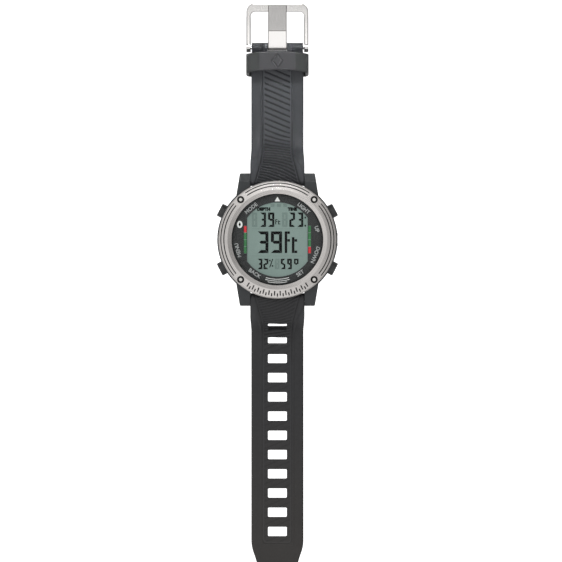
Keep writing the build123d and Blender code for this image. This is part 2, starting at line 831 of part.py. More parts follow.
def strap_root(flat_z, end_y):
    """The thick moulded end of a strap half: a knuckle round the spring bar, the bend, a flat end."""
    turn = radians(bend_angle)
    crest_end, foot_start, foot_end = bend_points(flat_z)
    down = Vector(sin(turn), cos(turn)) * strap_thickness
    side_z = bar_z + sqrt(shoulder_radius**2 - knuckle_radius**2)
    heel = radians(heel_angle)
    heel_point = (bar_y + knuckle_radius * cos(heel), bar_z + knuckle_radius * sin(heel))
    with BuildPart() as root:
        with BuildSketch(Plane.YZ) as side_view:
            with BuildLine():
                Line((bar_y, strap_top_z), (bend_start_y, strap_top_z))
                JernArc((bend_start_y, strap_top_z), (1, 0), crest_radius, -bend_angle)
                Line(crest_end, foot_start)
                JernArc(foot_start, (cos(turn), -sin(turn)), foot_radius, bend_angle)
                Polyline(
                    foot_end,
                    (end_y, flat_z + strap_thickness),
                    (end_y, flat_z),
                    (foot_end[0], flat_z),
                )
                JernArc(
                    (foot_end[0], flat_z), (-1, 0), foot_radius + strap_thickness, -bend_angle
                )
                Polyline(
                    (foot_start[0] - down.X, foot_start[1] - down.Y),
                    (crest_end[0] - down.X, crest_end[1] - down.Y),
                    heel_point,
                )
                RadiusArc(
                    heel_point, (bar_y - knuckle_radius, bar_z), knuckle_radius, short_sagitta=False
                )
                Line((bar_y - knuckle_radius, bar_z), (bar_y - knuckle_radius, side_z))
                RadiusArc((bar_y - knuckle_radius, side_z), (bar_y, strap_top_z), shoulder_radius)
            make_face()
        extrude(amount=strap_root_width / 2, both=True)
        # Seen from above, the root narrows from the lugs to the strap's own width
        with BuildSketch(Plane.XY) as plan_view:
            with BuildLine():
                Polyline(
                    (strap_root_width / 2, 20),
                    (strap_root_width / 2, 27),
                    (strap_width / 2, 37),
                    (strap_width / 2, end_y + 1),
                    (-strap_width / 2, end_y + 1),
                    (-strap_width / 2, 37),
                    (-strap_root_width / 2, 27),
                    (-strap_root_width / 2, 20),
                    close=True,
                )
            make_face()
        extrude(amount=20, mode=Mode.INTERSECT)
        with BuildSketch(Plane.YZ) as bar_bore:
            with Locations((bar_y, bar_z)):
                Circle(bar_radius + running_gap)
        extrude(amount=20, both=True, mode=Mode.SUBTRACT)
    return root.part


def slot_planes():
    """Planes of the three slots on the bend of the long strap, square to its surface."""
    crest_end, foot_start, foot_end = bend_points(long_strap_z)
    planes = []
    for k in range(slots_on_root):
        along = k * slot_pitch - (slots_y[0] - foot_end[0])
        angle = min(along / foot_mid_radius, radians(bend_angle))
        beyond = along - angle * foot_mid_radius
        y = foot_end[0] - foot_mid_radius * sin(angle) - beyond * cos(angle)
        z = strap_thickness / 2 + foot_mid_radius * (1 - cos(angle)) + beyond * sin(angle)
        planes.append(Plane(origin=(0, y, z), x_dir=(1, 0, 0), z_dir=(0, sin(angle), cos(angle))))
    return planes


flex_y = [slots_y[0] + slot_pitch * (0.5 + slots_per_section * k) for k in range(flex_sections + 1)]

with BuildPart() as long_strap_root:
    add(strap_root(long_strap_z, flex_y[0]))
    for plane in slot_planes():
        with BuildSketch(plane):
            RectangleRounded(slot_width, slot_height, slot_corner)
        extrude(amount=4, both=True, mode=Mode.SUBTRACT)

save(long_strap_root.part.mirror(Plane.XZ), "long_strap_root")

for k in range(flex_sections):
    near, far = flex_y[k], flex_y[k + 1]
    with BuildPart() as section:
        with BuildSketch(Plane.XY):
            with Locations((0, -(near + far) / 2)):
                Rectangle(strap_width, far - near)
            for y in slots_y:
                if near < y < far:
                    with Locations((0, -y)):
                        RectangleRounded(slot_width, slot_height, slot_corner, mode=Mode.SUBTRACT)
        extrude(amount=strap_thickness)
        long_edges = section.edges().filter_by(Axis.Y).group_by(SortBy.LENGTH)[-1]
        fillet(long_edges, radius=0.5)
    save(section.part, f"long_strap_section_{k + 1}")

with BuildPart() as long_strap_tail:
    with BuildSketch(Plane.XY):
        with BuildLine():
            side = Line((strap_width / 2, -flex_y[-1]), (strap_width / 2, -taper_start_y))
            flare = TangentArc(
                side @ 1, (strap_width / 2 - 1.3, -taper_start_y - 6.2), tangent=(0, -1)
            )
            slope = Line(flare @ 1, (tail_tip_half_width, -tail_tip_y + tail_nose))
            mirror(about=Plane.YZ)
            ThreePointArc(
                slope @ 1, (0, -tail_tip_y), (-tail_tip_half_width, -tail_tip_y + tail_nose)
            )
            Line((-strap_width / 2, -flex_y[-1]), (strap_width / 2, -flex_y[-1]))
        make_face()
        with Locations((0, -last_slot_y)):
            RectangleRounded(slot_width, slot_height, slot_corner, mode=Mode.SUBTRACT)
    extrude(amount=strap_thickness)
    tip_corners = long_strap_tail.edges().filter_by(Axis.Z).group_by(Axis.Y)[0]
    fillet(tip_corners, radius=2.4)

save(long_strap_tail.part, "long_strap_tail")

save(strap_root(buckle_strap_z, buckle_flex_y[0]), "buckle_strap_root")

with BuildPart() as buckle_strap_middle:
    with BuildSketch(Plane.XY.offset(buckle_strap_z)):
        with Locations((0, sum(buckle_flex_y) / 2)):
            Rectangle(strap_width, buckle_flex_y[1] - buckle_flex_y[0])
    extrude(amount=strap_thickness)
    fillet(buckle_strap_middle.edges().filter_by(Axis.Y), radius=0.5)

save(buckle_strap_middle.part, "buckle_strap_middle")

pin_z = buckle_strap_z + strap_thickness / 2

with BuildPart() as buckle_strap_end:
    with BuildSketch(Plane.XY.offset(buckle_strap_z)):
        with BuildLine():
            Polyline(
                (strap_width / 2, buckle_flex_y[1]),
                (strap_width / 2, pin_y - 6),
                (strap_end_width / 2, pin_y),
                (-strap_end_width / 2, pin_y),
                (-strap_width / 2, pin_y - 6),
                (-strap_width / 2, buckle_flex_y[1]),
                close=True,
            )
        make_face()
    extrude(amount=strap_thickness)
    with BuildSketch(Plane.YZ) as roll:
        with Locations((pin_y, pin_z)):
            Circle(strap_end_radius)
    extrude(amount=strap_end_width / 2, both=True)
    with BuildSketch(Plane.YZ) as pin_bore:
        with Locations((pin_y, pin_z)):
            Circle(pin_radius + 0.03)
    extrude(amount=20, both=True, mode=Mode.SUBTRACT)
    with Locations((0, pin_y + 2, pin_z)):
        Box(prong_notch, 8.4, 10, mode=Mode.SUBTRACT)

save(buckle_strap_end.part, "buckle_strap_end")

# ---------------------------------------------------------------- keeper, buckle and prong

keeper_top_z = 8.4
keeper_crown = 1.1
keeper_inner_half = keeper_half_width - keeper_wall


def crowned_outline(half_width, bottom, top, crown, corner):
    """A rounded box section whose top side is a shallow arch."""
    with BuildSketch(Plane.XZ, mode=Mode.PRIVATE) as outline:
        with BuildLine():
            Polyline((-half_width, top), (-half_width, bottom), (half_width, bottom), (half_width, top))
            ThreePointArc((half_width, top), (0, top + crown), (-half_width, top))
        make_face()
        fillet(outline.vertices(), radius=corner)
    return outline.sketch


with BuildPart() as keeper_loop:
    with BuildSketch(Plane.XZ.offset(-80)) as keeper_section:
        add(crowned_outline(keeper_half_width, keeper_bottom_z, keeper_top_z, keeper_crown, 1.6))
        add(
            crowned_outline(
                keeper_inner_half,
                keeper_bottom_z + keeper_wall,
                keeper_top_z - keeper_wall,
                keeper_crown,
                0.5,
            ),
            mode=Mode.SUBTRACT,
        )
    extrude(amount=20)
    # Seen from the side, the loop leans towards the buckle and narrows upwards
    with BuildSketch(Plane.YZ) as keeper_side:
        with BuildLine():
            Polyline(
                (keeper_foot_y[0], 0),
                (keeper_foot_y[1], 0),
                (keeper_head_y[1], keeper_top_z + keeper_crown),
                (keeper_head_y[0], keeper_top_z + keeper_crown),
                close=True,
            )
        make_face()
    extrude(amount=keeper_half_width + 1, both=True, mode=Mode.INTERSECT)

save(keeper_loop.part, "keeper_loop")

buckle_window_length = buckle_end_y - crossbar_width - pin_y

with BuildPart() as buckle_frame:
    with BuildSketch(Plane.XY.offset(pin_z - buckle_thickness / 2)):
        with Locations((0, (pin_y + buckle_end_y) / 2)):
            Rectangle(2 * buckle_half_width, buckle_end_y - pin_y)
    extrude(amount=buckle_thickness)
    outer_corners = buckle_frame.edges().filter_by(Axis.Z).group_by(Axis.Y)[-1]
    fillet(outer_corners, radius=3.4)
    with BuildSketch(Plane.XY.offset(pin_z - buckle_thickness)):
        with Locations((0, pin_y + buckle_window_length / 2 - 5)):
            RectangleRounded(
                2 * (buckle_half_width - buckle_side_width), buckle_window_length + 10, 1.9
            )
    extrude(amount=2 * buckle_thickness, mode=Mode.SUBTRACT)
    level_edges = buckle_frame.edges().filter_by(Axis.Z, reverse=True)
    fillet(level_edges.filter_by(lambda e: e.center().Y > pin_y + 0.1), radius=0.45)
    # Round eyes where the pin passes through the side bars
    for inner_x in (-buckle_half_width, buckle_half_width - buckle_side_width):
        with BuildSketch(Plane.YZ.offset(inner_x)) as eye:
            with Locations((pin_y, pin_z)):
                Circle(1.85)
        extrude(amount=buckle_side_width)
    with BuildSketch(Plane.YZ) as pin_holes:
        with Locations((pin_y, pin_z)):
            Circle(pin_radius + running_gap)
    extrude(amount=20, both=True, mode=Mode.SUBTRACT)

save(buckle_frame.part, "buckle_frame")

prong_ridge = (pin_y + 6.8, pin_z + 2.9)
prong_tip = (buckle_end_y - 0.6, pin_z + buckle_thickness / 2 + 0.06)

with BuildPart() as buckle_prong:
    with BuildSketch(Plane.YZ) as prong_side:
        with BuildLine():
            Polyline(
                (pin_y, pin_z + 1.7),
                prong_ridge,
                (prong_tip[0], prong_tip[1] + prong_thickness),
                prong_tip,
                (prong_ridge[0] + 0.3, prong_ridge[1] - prong_thickness - 0.05),
                (pin_y + 1.2, pin_z - 0.6),
                (pin_y, pin_z),
                close=True,
            )
        make_face()
        with Locations((pin_y, pin_z)):
            Circle(1.7)
            Circle(pin_radius + running_gap, mode=Mode.SUBTRACT)
    extrude(amount=prong_width / 2, both=True)
    side_edges = buckle_prong.faces().filter_by(Axis.X).edges()
    fillet(side_edges.filter_by(lambda e: e.center().Y > pin_y + 3), radius=0.3)

save(buckle_prong.part, "buckle_prong")

with BuildPart() as buckle_pin:
    with BuildSketch(Plane.YZ):
        with Locations((pin_y, pin_z)):
            Circle(pin_radius)
    extrude(amount=buckle_half_width - 0.1, both=True)

save(buckle_pin.part, "buckle_pin")
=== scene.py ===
"""Looks of the wrist dive computer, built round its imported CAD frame.

Lengths are millimetres, and MM turns them into metres where a mesh or a node takes them. The frame
is the CAD's: +Z up through the display, +Y along the buckle strap, -Y along the long slotted strap.
"""

import json
import math
from functools import reduce
from math import cos, pi, radians, sin

import bpy
import numpy as np
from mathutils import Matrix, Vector


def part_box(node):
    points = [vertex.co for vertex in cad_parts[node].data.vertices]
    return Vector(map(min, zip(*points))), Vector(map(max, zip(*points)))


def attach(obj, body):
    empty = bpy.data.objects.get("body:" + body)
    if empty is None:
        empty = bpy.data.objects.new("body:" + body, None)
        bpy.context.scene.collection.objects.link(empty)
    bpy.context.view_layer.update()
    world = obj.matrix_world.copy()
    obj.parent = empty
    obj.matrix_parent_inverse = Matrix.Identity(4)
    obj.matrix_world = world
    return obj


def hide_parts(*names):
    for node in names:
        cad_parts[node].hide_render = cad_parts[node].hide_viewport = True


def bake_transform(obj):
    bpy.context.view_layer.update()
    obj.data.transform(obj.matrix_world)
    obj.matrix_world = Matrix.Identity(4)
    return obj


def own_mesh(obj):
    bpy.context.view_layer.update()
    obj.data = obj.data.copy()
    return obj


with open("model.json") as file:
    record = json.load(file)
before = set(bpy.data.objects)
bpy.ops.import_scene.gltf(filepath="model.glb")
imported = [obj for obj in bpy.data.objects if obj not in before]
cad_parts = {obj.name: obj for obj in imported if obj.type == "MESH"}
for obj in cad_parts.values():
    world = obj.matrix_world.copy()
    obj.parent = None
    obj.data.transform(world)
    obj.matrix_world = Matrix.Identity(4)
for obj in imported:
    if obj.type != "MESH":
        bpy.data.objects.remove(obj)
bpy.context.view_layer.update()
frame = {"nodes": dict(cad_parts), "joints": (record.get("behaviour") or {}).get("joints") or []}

MM = 0.001

# ---- places read from the frame

joints = {joint["name"]: joint for joint in frame["joints"]}


def joint_place(name):
    """A joint's pivot."""
    return np.array(joints[name]["pos_m"]) / MM


def node_box(name):
    """Lowest and highest corner of a CAD node."""
    low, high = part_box(name)
    return np.array(low) / MM, np.array(high) / MM


bar_y, bar_z = joint_place("buckle_strap_hinge")[1:]
pin_y, pin_z = joint_place("buckle_hinge")[1:]
strap_top_z = node_box("long_strap_root")[1][2]
section_low, section_high = node_box("long_strap_section_1")
strap_width, long_flat_z = 2 * section_high[0], section_low[2]
strap_thickness = section_high[2] - long_flat_z
buckle_flat_z = node_box("buckle_strap_middle")[0][2]
tail_tip_y = -node_box("long_strap_tail")[0][1]
long_flex_y = [-joint_place(f"long_strap_flex_{k}")[1] for k in (1, 2, 3, 4, 5)]
buckle_flex_y = [joint_place(f"buckle_strap_flex_{k}")[1] for k in (1, 2)]
lcd_top_z = node_box("lcd_panel")[1][2]
mask_top_z = node_box("dial_mask")[1][2]

# ---- mesh helpers


def placed(name, data):
    """A new object in the scene."""
    made = bpy.data.objects.new(name, data)
    bpy.context.scene.collection.objects.link(made)
    return made


def add_mesh(name, points, faces, slot, material=None):
    """A smooth-shaded piece from points in millimetres, with its sharper edges kept."""
    mesh = bpy.data.meshes.new(name)
    mesh.from_pydata((np.asarray(points, float) * MM).tolist(), [], faces)
    mesh.validate()
    mesh.shade_smooth()
    mesh.set_sharp_from_angle(angle=radians(60))
    mesh.materials.append(material or materials[slot])
    made = placed(name, mesh)
    return made


def fill(knots, step):
    """The knots, with each gap between them cut into equal steps no longer than this."""
    values = [knots[0]]
    for near, far in zip(knots[:-1], knots[1:]):
        count = max(1, math.ceil((far - near) / step - 1e-6))
        values += [near + (far - near) * k / count for k in range(1, count + 1)]
    return np.array(values)


def bump(distance, half_width):
    """A smooth hump: 1 at no distance, 0 from the half width outwards."""
    return np.cos(np.clip(np.abs(distance) / half_width, 0, 1) * pi / 2) ** 2


def smoothstep(value, low, high):
    t = np.clip((value - low) / (high - low), 0, 1)
    return t * t * (3 - 2 * t)


def rounding(distance, radius):
    """How far a rounded edge has dropped at this distance from it."""
    inside = np.clip(radius - distance, 0, radius)
    return radius - np.sqrt(radius**2 - inside**2)


def box_distance(x, y, half_x, half_y, corner):
    """Signed distance to a rectangle with rounded corners."""
    qx, qy = np.abs(x) - half_x + corner, np.abs(y) - half_y + corner
    outside = np.hypot(np.maximum(qx, 0), np.maximum(qy, 0))
    return outside + np.minimum(np.maximum(qx, qy), 0) - corner


def arc(centre, radius, start, end, count=24):
    """Points on an arc from one angle to another, in degrees."""
    angles = np.radians(np.linspace(start, end, count))
    return np.column_stack((np.cos(angles), np.sin(angles))) * radius + centre


def lengths_along(points):
    steps = np.linalg.norm(np.diff(points, axis=0), axis=1)
    return np.concatenate(([0], np.cumsum(steps)))


def resample(points, fractions):
    """Points at these fractions of a polyline's length."""
    along = lengths_along(points)
    return np.column_stack([np.interp(fractions, along / along[-1], line) for line in points.T])


def prisms(outlines, low, high):
    """Points and faces of flat plates between two heights, one per outline."""
    points, faces = [], []
    for outline in outlines:
        count = len(outline)
        base = list(range(len(points), len(points) + count))
        points += [(x, y, z) for z in (low, high) for x, y in outline]
        faces += [base[::-1], [k + count for k in base]]
        after = base[1:] + base[:1]
        faces += [[k, ahead, ahead + count, k + count] for k, ahead in zip(base, after)]
    return points, faces


# ---- materials


def linear(red, green, blue):
    """A colour given in display values from 0 to 255, as the shader's linear one."""
    scaled = [value / 255 for value in (red, green, blue)]
    return [v / 12.92 if v <= 0.04045 else ((v + 0.055) / 1.055) ** 2.4 for v in scaled] + [1]


class NodeTree:
    """A node tree with short calls for the nodes that the materials and the sky share."""

    def __init__(self, owner, coordinates):
        owner.use_nodes = True
        self.nodes, self.links = owner.node_tree.nodes, owner.node_tree.links
        self.place = self.node("TexCoord").outputs[coordinates]

    def put(self, socket, value):
        """Links another socket to this one, or gives it a plain value."""
        if isinstance(value, bpy.types.NodeSocket):
            self.links.new(value, socket)
        elif value is not None:
            socket.default_value = value

    def node(self, kind, inputs=None, **settings):
        """A new node with these settings, and its inputs filled by name or number."""
        made = self.nodes.new(f"ShaderNode{kind}")
        for key, value in settings.items():
            setattr(made, key, value)
        for key, value in (inputs or {}).items():
            self.put(made.inputs[key], value)
        return made

    def math(self, operation, first, second=None):
        return self.node("Math", {0: first, 1: second}, operation=operation).outputs[0]

    def sum(self, *values):
        return reduce(lambda first, second: self.math("ADD", first, second), values)

    def product(self, *values):
        return reduce(lambda first, second: self.math("MULTIPLY", first, second), values)

    def length(self, x, y):
        return self.math("SQRT", self.sum(self.product(x, x), self.product(y, y)))

    def noise(self, scale, detail=2.0, vector=None, roughness=0.5):
        values = {"Scale": scale, "Detail": detail, "Roughness": roughness}
        return self.node("TexNoise", {"Vector": vector or self.place, **values}).outputs["Fac"]

    def stretched(self, scale):
        """The object's coordinates scaled by a different factor on each axis."""
        return self.node("Mapping", {"Scale": scale, "Vector": self.place}).outputs["Vector"]

    def axes(self):
        return self.node("SeparateXYZ", {0: self.place}).outputs

    def mix(self, factor, first, second):
        """Blends two colours, each a socket or a display colour."""
        first, second = (linear(*c) if isinstance(c, tuple) else c for c in (first, second))
        return self.node("Mix", {0: factor, 6: first, 7: second}, data_type="RGBA").outputs[2]

    def span(self, value, low, high, to_low=0.0, to_high=1.0):
        """Maps a value from one range to another, held at its ends."""
        ends = {"From Min": low, "From Max": high, "To Min": to_low, "To Max": to_high}
        return self.node("MapRange", {"Value": value, **ends}).outputs["Result"]


class Shader(NodeTree):
    """A material and its surface."""

    def __init__(self, name):
        self.material = bpy.data.materials.new(name)
        super().__init__(self.material, "Object")
        self.surface = self.nodes["Principled BSDF"]

    def set(self, **values):
        """Fills the surface's inputs; an underscore stands for a space in their names."""
        for key, value in values.items():
            self.put(self.surface.inputs[key.replace("_", " ")], value)

    def with_relief(self, height, strength, distance_mm):
        """The finished material, with this relief on its surface."""
        values = {"Strength": strength, "Distance": distance_mm * MM, "Height": height}
        self.set(Normal=self.node("Bump", values).outputs["Normal"])
        return self.material

    def with_grain(self, size_mm, strength, depth_mm):
        """The finished material, with the fine grain of a mould."""
        return self.with_relief(self.noise(1 / (size_mm * MM), 3, roughness=0.6), strength, depth_mm)

    def uneven(self, colour, amount):
        """A display colour that drifts by this share either side."""
        shade = linear(*colour)
        deeper, lighter = ([c * k for c in shade[:3]] + [1] for k in (1 - amount, 1 + amount))
        return self.mix(self.noise(260, 4), deeper, lighter)

    def show_blend(self, share, first, second):
        """The material shows the first closure, and the second by this share."""
        blend = self.node("MixShader", {0: share, 1: first.outputs[0], 2: second.outputs[0]})
        self.put(self.nodes["Material Output"].inputs["Surface"], blend.outputs[0])


def moulded(name, colour, roughness, grain_mm, grain_depth, mottle=0.12):
    """Moulded rubber or plastic: a dull skin with a fine grain and slightly uneven colour."""
    shader = Shader(name)
    rough = shader.span(shader.noise(900, 3), 0.3, 0.7, roughness - 0.06, roughness + 0.06)
    shader.set(Base_Color=shader.uneven(colour, mottle), Roughness=rough, Specular_IOR_Level=0.5)
    return shader.with_grain(grain_mm, 0.5, grain_depth)


def strap_rubber():
    """Soft matt rubber, blue-grey, with painted light falloff: paler on the buckle half, darker on
    the long half by the case, and warmer at the tail.
    """
    shader = Shader("strap_rubber")
    y = shader.axes()[1]
    buckle_half, long_half, tail = (
        shader.uneven(colour, 0.1) for colour in ((64, 66, 70), (42, 42, 44), (53, 50, 48))
    )
    # Painted light falloff: the buckle half paler and the long half darker, as the lamp's light falls
    # off along the strap
    colour = shader.mix(shader.span(y, -30 * MM, 30 * MM), long_half, buckle_half)
    colour = shader.mix(shader.span(y, -60 * MM, -125 * MM), colour, tail)
    tone = shader.node("Attribute", attribute_name="tone").outputs["Fac"]
    # Painted shade and painted highlights from the relief's tone attribute
    colour = shader.mix(shader.span(tone, 0, -1), colour, (18, 18, 20))
    colour = shader.mix(shader.span(tone, 0, 1), colour, (112, 115, 120))
    shader.set(Base_Color=colour, Roughness=shader.span(shader.noise(900, 3), 0.3, 0.7, 0.48, 0.6))
    return shader.with_grain(0.22, 0.4, 0.012)


def faceted_rubber():
    """The keeper's rubber, with painted shade on the facets at its sides."""
    shader = Shader("keeper_rubber")
    away = shader.math("ABSOLUTE", shader.axes()[0])
    middle, sides = shader.uneven((70, 70, 73), 0.08), shader.uneven((59, 61, 61), 0.08)
    # Painted shade on the tilted side facets
    colour = shader.mix(shader.span(away, 7.0 * MM, 7.6 * MM), middle, sides)
    shader.set(Base_Color=colour, Roughness=0.5)
    return shader.with_grain(0.2, 0.4, 0.012)


ALONG_Y = (9000, 260, 9000)
ALONG_X = (260, 9000, 9000)
prong_crease_y = 84.1
buckle_bar_width = 1.75
edge_line_inset = 0.1


def brushed(name, colour, roughness, stretch, depth_mm, strength=0.35):
    """Metal with fine lines along one axis."""
    shader = Shader(name)
    lines = shader.noise(1.0, 3, vector=shader.stretched(stretch))
    shade = linear(*colour)
    darker = [c * 0.86 for c in shade[:3]] + [1]
    rough = shader.span(lines, 0.3, 0.7, roughness - 0.05, roughness + 0.07)
    shader.set(Base_Color=shader.mix(lines, darker, shade), Roughness=rough, Metallic=1.0)
    return shader.with_relief(lines, strength, depth_mm)


def edged_steel(name, line_distances, lines_end_y, crease_y=None):
    """Brushed steel with painted dark reflections in lines at distances from the middle plane, and a
    painted shadow line across it.
    """
    shader = Shader(name)
    x, y, _ = shader.axes()

    def line(value, place):
        away = shader.math("ABSOLUTE", shader.math("SUBTRACT", value, place * MM))
        return shader.span(away, 0.06 * MM, 0.2 * MM, 1, 0)

    from_middle = shader.math("ABSOLUTE", x)
    dark = shader.sum(*[line(from_middle, distance) for distance in line_distances])
    dark = shader.product(dark, shader.span(y, (lines_end_y - 0.6) * MM, lines_end_y * MM, 1, 0))
    # A painted shadow line along the prong's crease
    if crease_y:
        dark = shader.sum(dark, line(y, crease_y))
    grain = shader.noise(1.0, 3, vector=shader.stretched(ALONG_Y))
    steel = shader.mix(grain, (208, 206, 204), (224, 222, 220))
    colour = shader.mix(shader.span(dark, 0, 1), steel, (112, 109, 106))
    shader.set(Base_Color=colour, Roughness=shader.span(grain, 0.3, 0.7, 0.1, 0.2), Metallic=1.0)
    return shader.with_relief(grain, 0.35, 0.004)


bezel_high = node_box("bezel")[1]
bezel_crest_radius, bezel_rim_z = 20.1, 15.1
bezel_rim_radius = bezel_high[0] - 0.4


def bezel_steel():
    """Steel turned in circles round the display, with black in the cuts of its cone: black fill in
    the grooves, and painted shade in the screw recesses.
    """
    shader = Shader("bezel_steel")
    x, y, z = shader.axes()
    radius = shader.length(x, y)
    turns = shader.product(shader.math("ARCTAN2", y, x), 5)
    polar = {0: shader.product(radius, 5000), 1: turns, 2: shader.product(z, 3000)}
    lines = shader.noise(1.0, 2, vector=shader.node("CombineXYZ", polar).outputs[0])
    steel = shader.mix(lines, (205, 201, 198), (221, 217, 214))
    fall = (bezel_high[2] - bezel_rim_z) / (bezel_rim_radius - bezel_crest_radius)
    cone_top = (bezel_high[2] + fall * bezel_crest_radius) * MM
    cone = shader.sum(shader.product(radius, -fall), cone_top)
    cut = shader.span(shader.math("SUBTRACT", cone, z), 0.05 * MM, 0.12 * MM)
    beyond_crest = shader.span(radius, 20.3 * MM, 20.4 * MM)
    within_rim = shader.span(radius, (bezel_rim_radius - 0.1) * MM, bezel_rim_radius * MM, 1, 0)
    # Black fill in the grooves, and painted shade in the screw recesses
    cut_fill_and_shade = shader.product(cut, beyond_crest, within_rim)
    shader.set(
        Base_Color=shader.mix(cut_fill_and_shade, steel, (16, 16, 17)),
        Metallic=shader.math("SUBTRACT", 1.0, cut_fill_and_shade),
        Roughness=shader.sum(shader.span(lines, 0.3, 0.7, 0.24, 0.32), shader.product(cut_fill_and_shade, 0.3)),
    )
    return shader.with_relief(lines, 0.12, 0.004)


screw_head_radius = 1.0


def bezel_screw_steel():
    """Polished screw heads, with painted shade from the socket's rim outwards."""
    shader = Shader("bezel_screw_steel")
    screw_centre = node_box("bezel_screws")[1][:2] - screw_head_radius
    offsets = [
        shader.math("SUBTRACT", shader.math("ABSOLUTE", axis), float(middle) * MM)
        for axis, middle in zip(shader.axes()[:2], screw_centre)
    ]
    radius = shader.length(*offsets)
    # A painted dark ring of shade round the bright middle of each head
    ring = shader.span(radius, 0.62 * MM, 0.74 * MM)
    polish = shader.mix(shader.noise(3000, 3), (222, 220, 216), (240, 238, 234))
    shader.set(Base_Color=shader.mix(ring, polish, (42, 41, 40)), Metallic=1.0, Roughness=0.3)
    return shader.with_relief(shader.noise(4000, 2), 0.15, 0.003)


def front_glass():
    """Clear coated glass with a faint reflection, which lets the lamps reach the display."""
    shader = Shader("lens_glass")
    shader.nodes.remove(shader.surface)
    clear = shader.node("BsdfTransparent", {"Color": (0.965, 0.975, 0.972, 1)})
    smears = shader.span(shader.noise(90, 3), 0.3, 0.7, 0.02, 0.07)
    fresnel = shader.node("Fresnel", {"IOR": 1.22}).outputs[0]
    # Light leaves by the underside unchanged, so that the display stays visible from low angles
    entering = shader.math("SUBTRACT", 1.0, shader.node("NewGeometry").outputs["Backfacing"])
    shader.show_blend(
        shader.product(fresnel, entering), clear, shader.node("BsdfGlossy", {"Roughness": smears})
    )
    return shader.material


def lcd_grey():
    """The display's grey-green ground, a little uneven, with its fine cell grid."""
    shader = Shader("lcd_grey")
    cell = 0.3 * MM
    waves = [
        shader.math("ABSOLUTE", shader.math("SINE", shader.product(axis, pi / cell)))
        for axis in shader.axes()[:2]
    ]
    grid = shader.span(shader.math("MINIMUM", *waves), 0.0, 0.12)
    ground = shader.mix(shader.noise(60, 2), (157, 177, 170), (165, 184, 178))
    colour = shader.mix(grid, (152, 170, 164), ground)
    shader.set(Base_Color=colour, Roughness=0.5, Specular_IOR_Level=0.2)
    return shader.with_relief(grid, 0.1, 0.004)


def speckled(name, colour, other, scale, roughness, specular=0.5, painted_glow=0.0):
    """A plain finish with a second tone scattered through it, for prints and small inner parts, and a
    painted glow where asked.
    """
    shader = Shader(name)
    patches = shader.span(shader.noise(scale, 5), 0.42, 0.62)
    tones = shader.mix(patches, colour, other)
    shader.set(Base_Color=tones, Roughness=roughness, Specular_IOR_Level=specular)
    # A painted glow, which brightens the part as if lit from within
    shader.set(Emission_Color=linear(*colour), Emission_Strength=painted_glow)
    return shader.with_relief(shader.noise(scale * 4, 2), 0.2, 0.01)


finishes = {
    # Colour, roughness, size and depth of the grain
    moulded: {
        "case_polymer": ((53, 56, 58), 0.46, 0.16, 0.012),
        "mask_print": ((56, 56, 57), 0.55, 0.1, 0.0004, 0.04),
        "inner_plastic": ((40, 41, 43), 0.5, 0.2, 0.01),
        "chip_black": ((30, 30, 32), 0.55, 0.12, 0.004),
        "seal_rubber": ((32, 32, 33), 0.6, 0.12, 0.006),
        "button_polymer": ((54, 55, 56), 0.42, 0.14, 0.01),
    },
    # Colour, roughness, direction and depth of the lines
    brushed: {
        "screw_steel": ((214, 212, 208), 0.24, (3000, 3000, 3000), 0.004, 0.15),
        "contact_metal": ((214, 184, 120), 0.26, ALONG_X, 0.004),
        "piezo_brass": ((206, 172, 98), 0.3, ALONG_X, 0.004),
        "cell_steel": ((206, 207, 208), 0.24, ALONG_X, 0.004),
        "spring_steel": ((196, 197, 199), 0.22, ALONG_X, 0.003),
        "buckle_steel": ((224, 222, 220), 0.15, ALONG_Y, 0.004),
    },
    # Colour, second colour, scale of the specks, roughness
    speckled: {
        "light_diffuser": ((232, 234, 230), (222, 226, 222), 400, 0.5),
        "board_laminate": ((28, 84, 52), (20, 66, 40), 700, 0.4),
        "antenna_ceramic": ((226, 224, 214), (210, 206, 194), 900, 0.4),
        "contact_rubber": ((206, 128, 150), (60, 50, 54), 1600, 0.6),
    },
}
materials = {
    "bezel_steel": bezel_steel(),
    "lens_glass": front_glass(),
    "lcd_grey": lcd_grey(),
    "strap_rubber": strap_rubber(),
    "keeper_rubber": faceted_rubber(),
}
for make, table in finishes.items():
    materials.update({name: make(name, *values) for name, values in table.items()})


def paint_node(name, material):
    for material_slot in frame["nodes"][name].material_slots:
        material_slot.material = material


for name, node in frame["nodes"].items():
    paint_node(name, materials[node.material_slots[0].material.name.split(".")[0]])
prong_lines = [node_box("buckle_prong")[1][0] - edge_line_inset]
buckle_edge, buckle_end_y = node_box("buckle_frame")[1][:2]
bar_lines = [buckle_edge - edge_line_inset, buckle_edge - buckle_bar_width + edge_line_inset]
bar_lines_end_y = buckle_end_y - 5.2
paint_node("bezel_screws", bezel_screw_steel())
paint_node("buckle_prong", edged_steel("prong_steel", prong_lines, buckle_end_y, prong_crease_y))
paint_node("buckle_frame", edged_steel("buckle_frame_steel", bar_lines, bar_lines_end_y))

# ---- strap

bend_start_y = 29.7
bend_middle_y = 35.2
bend_degrees = 48.0
crest_radius = 6.0
foot_radius = 17.5
knuckle_radius = 2.7
shoulder_radius = 3.3
heel_degrees = -50
edge_radius = 0.7
slot_half_x, slot_half_y = 3.8, 1.87
slot_corner = 0.45
slot_lip, notch_lip = 0.14, 0.3
# Columns of the strap's grid nearer its middle than this keep their places where it widens
steady_half = 6.0
slot_pitch = (long_flex_y[1] - long_flex_y[0]) / 2
first_flat_slot = long_flex_y[0] - slot_pitch / 2
slots_along = [first_flat_slot + slot_pitch * k for k in range(-2, 10)]
long_step, buckle_step = 0.25, 0.16


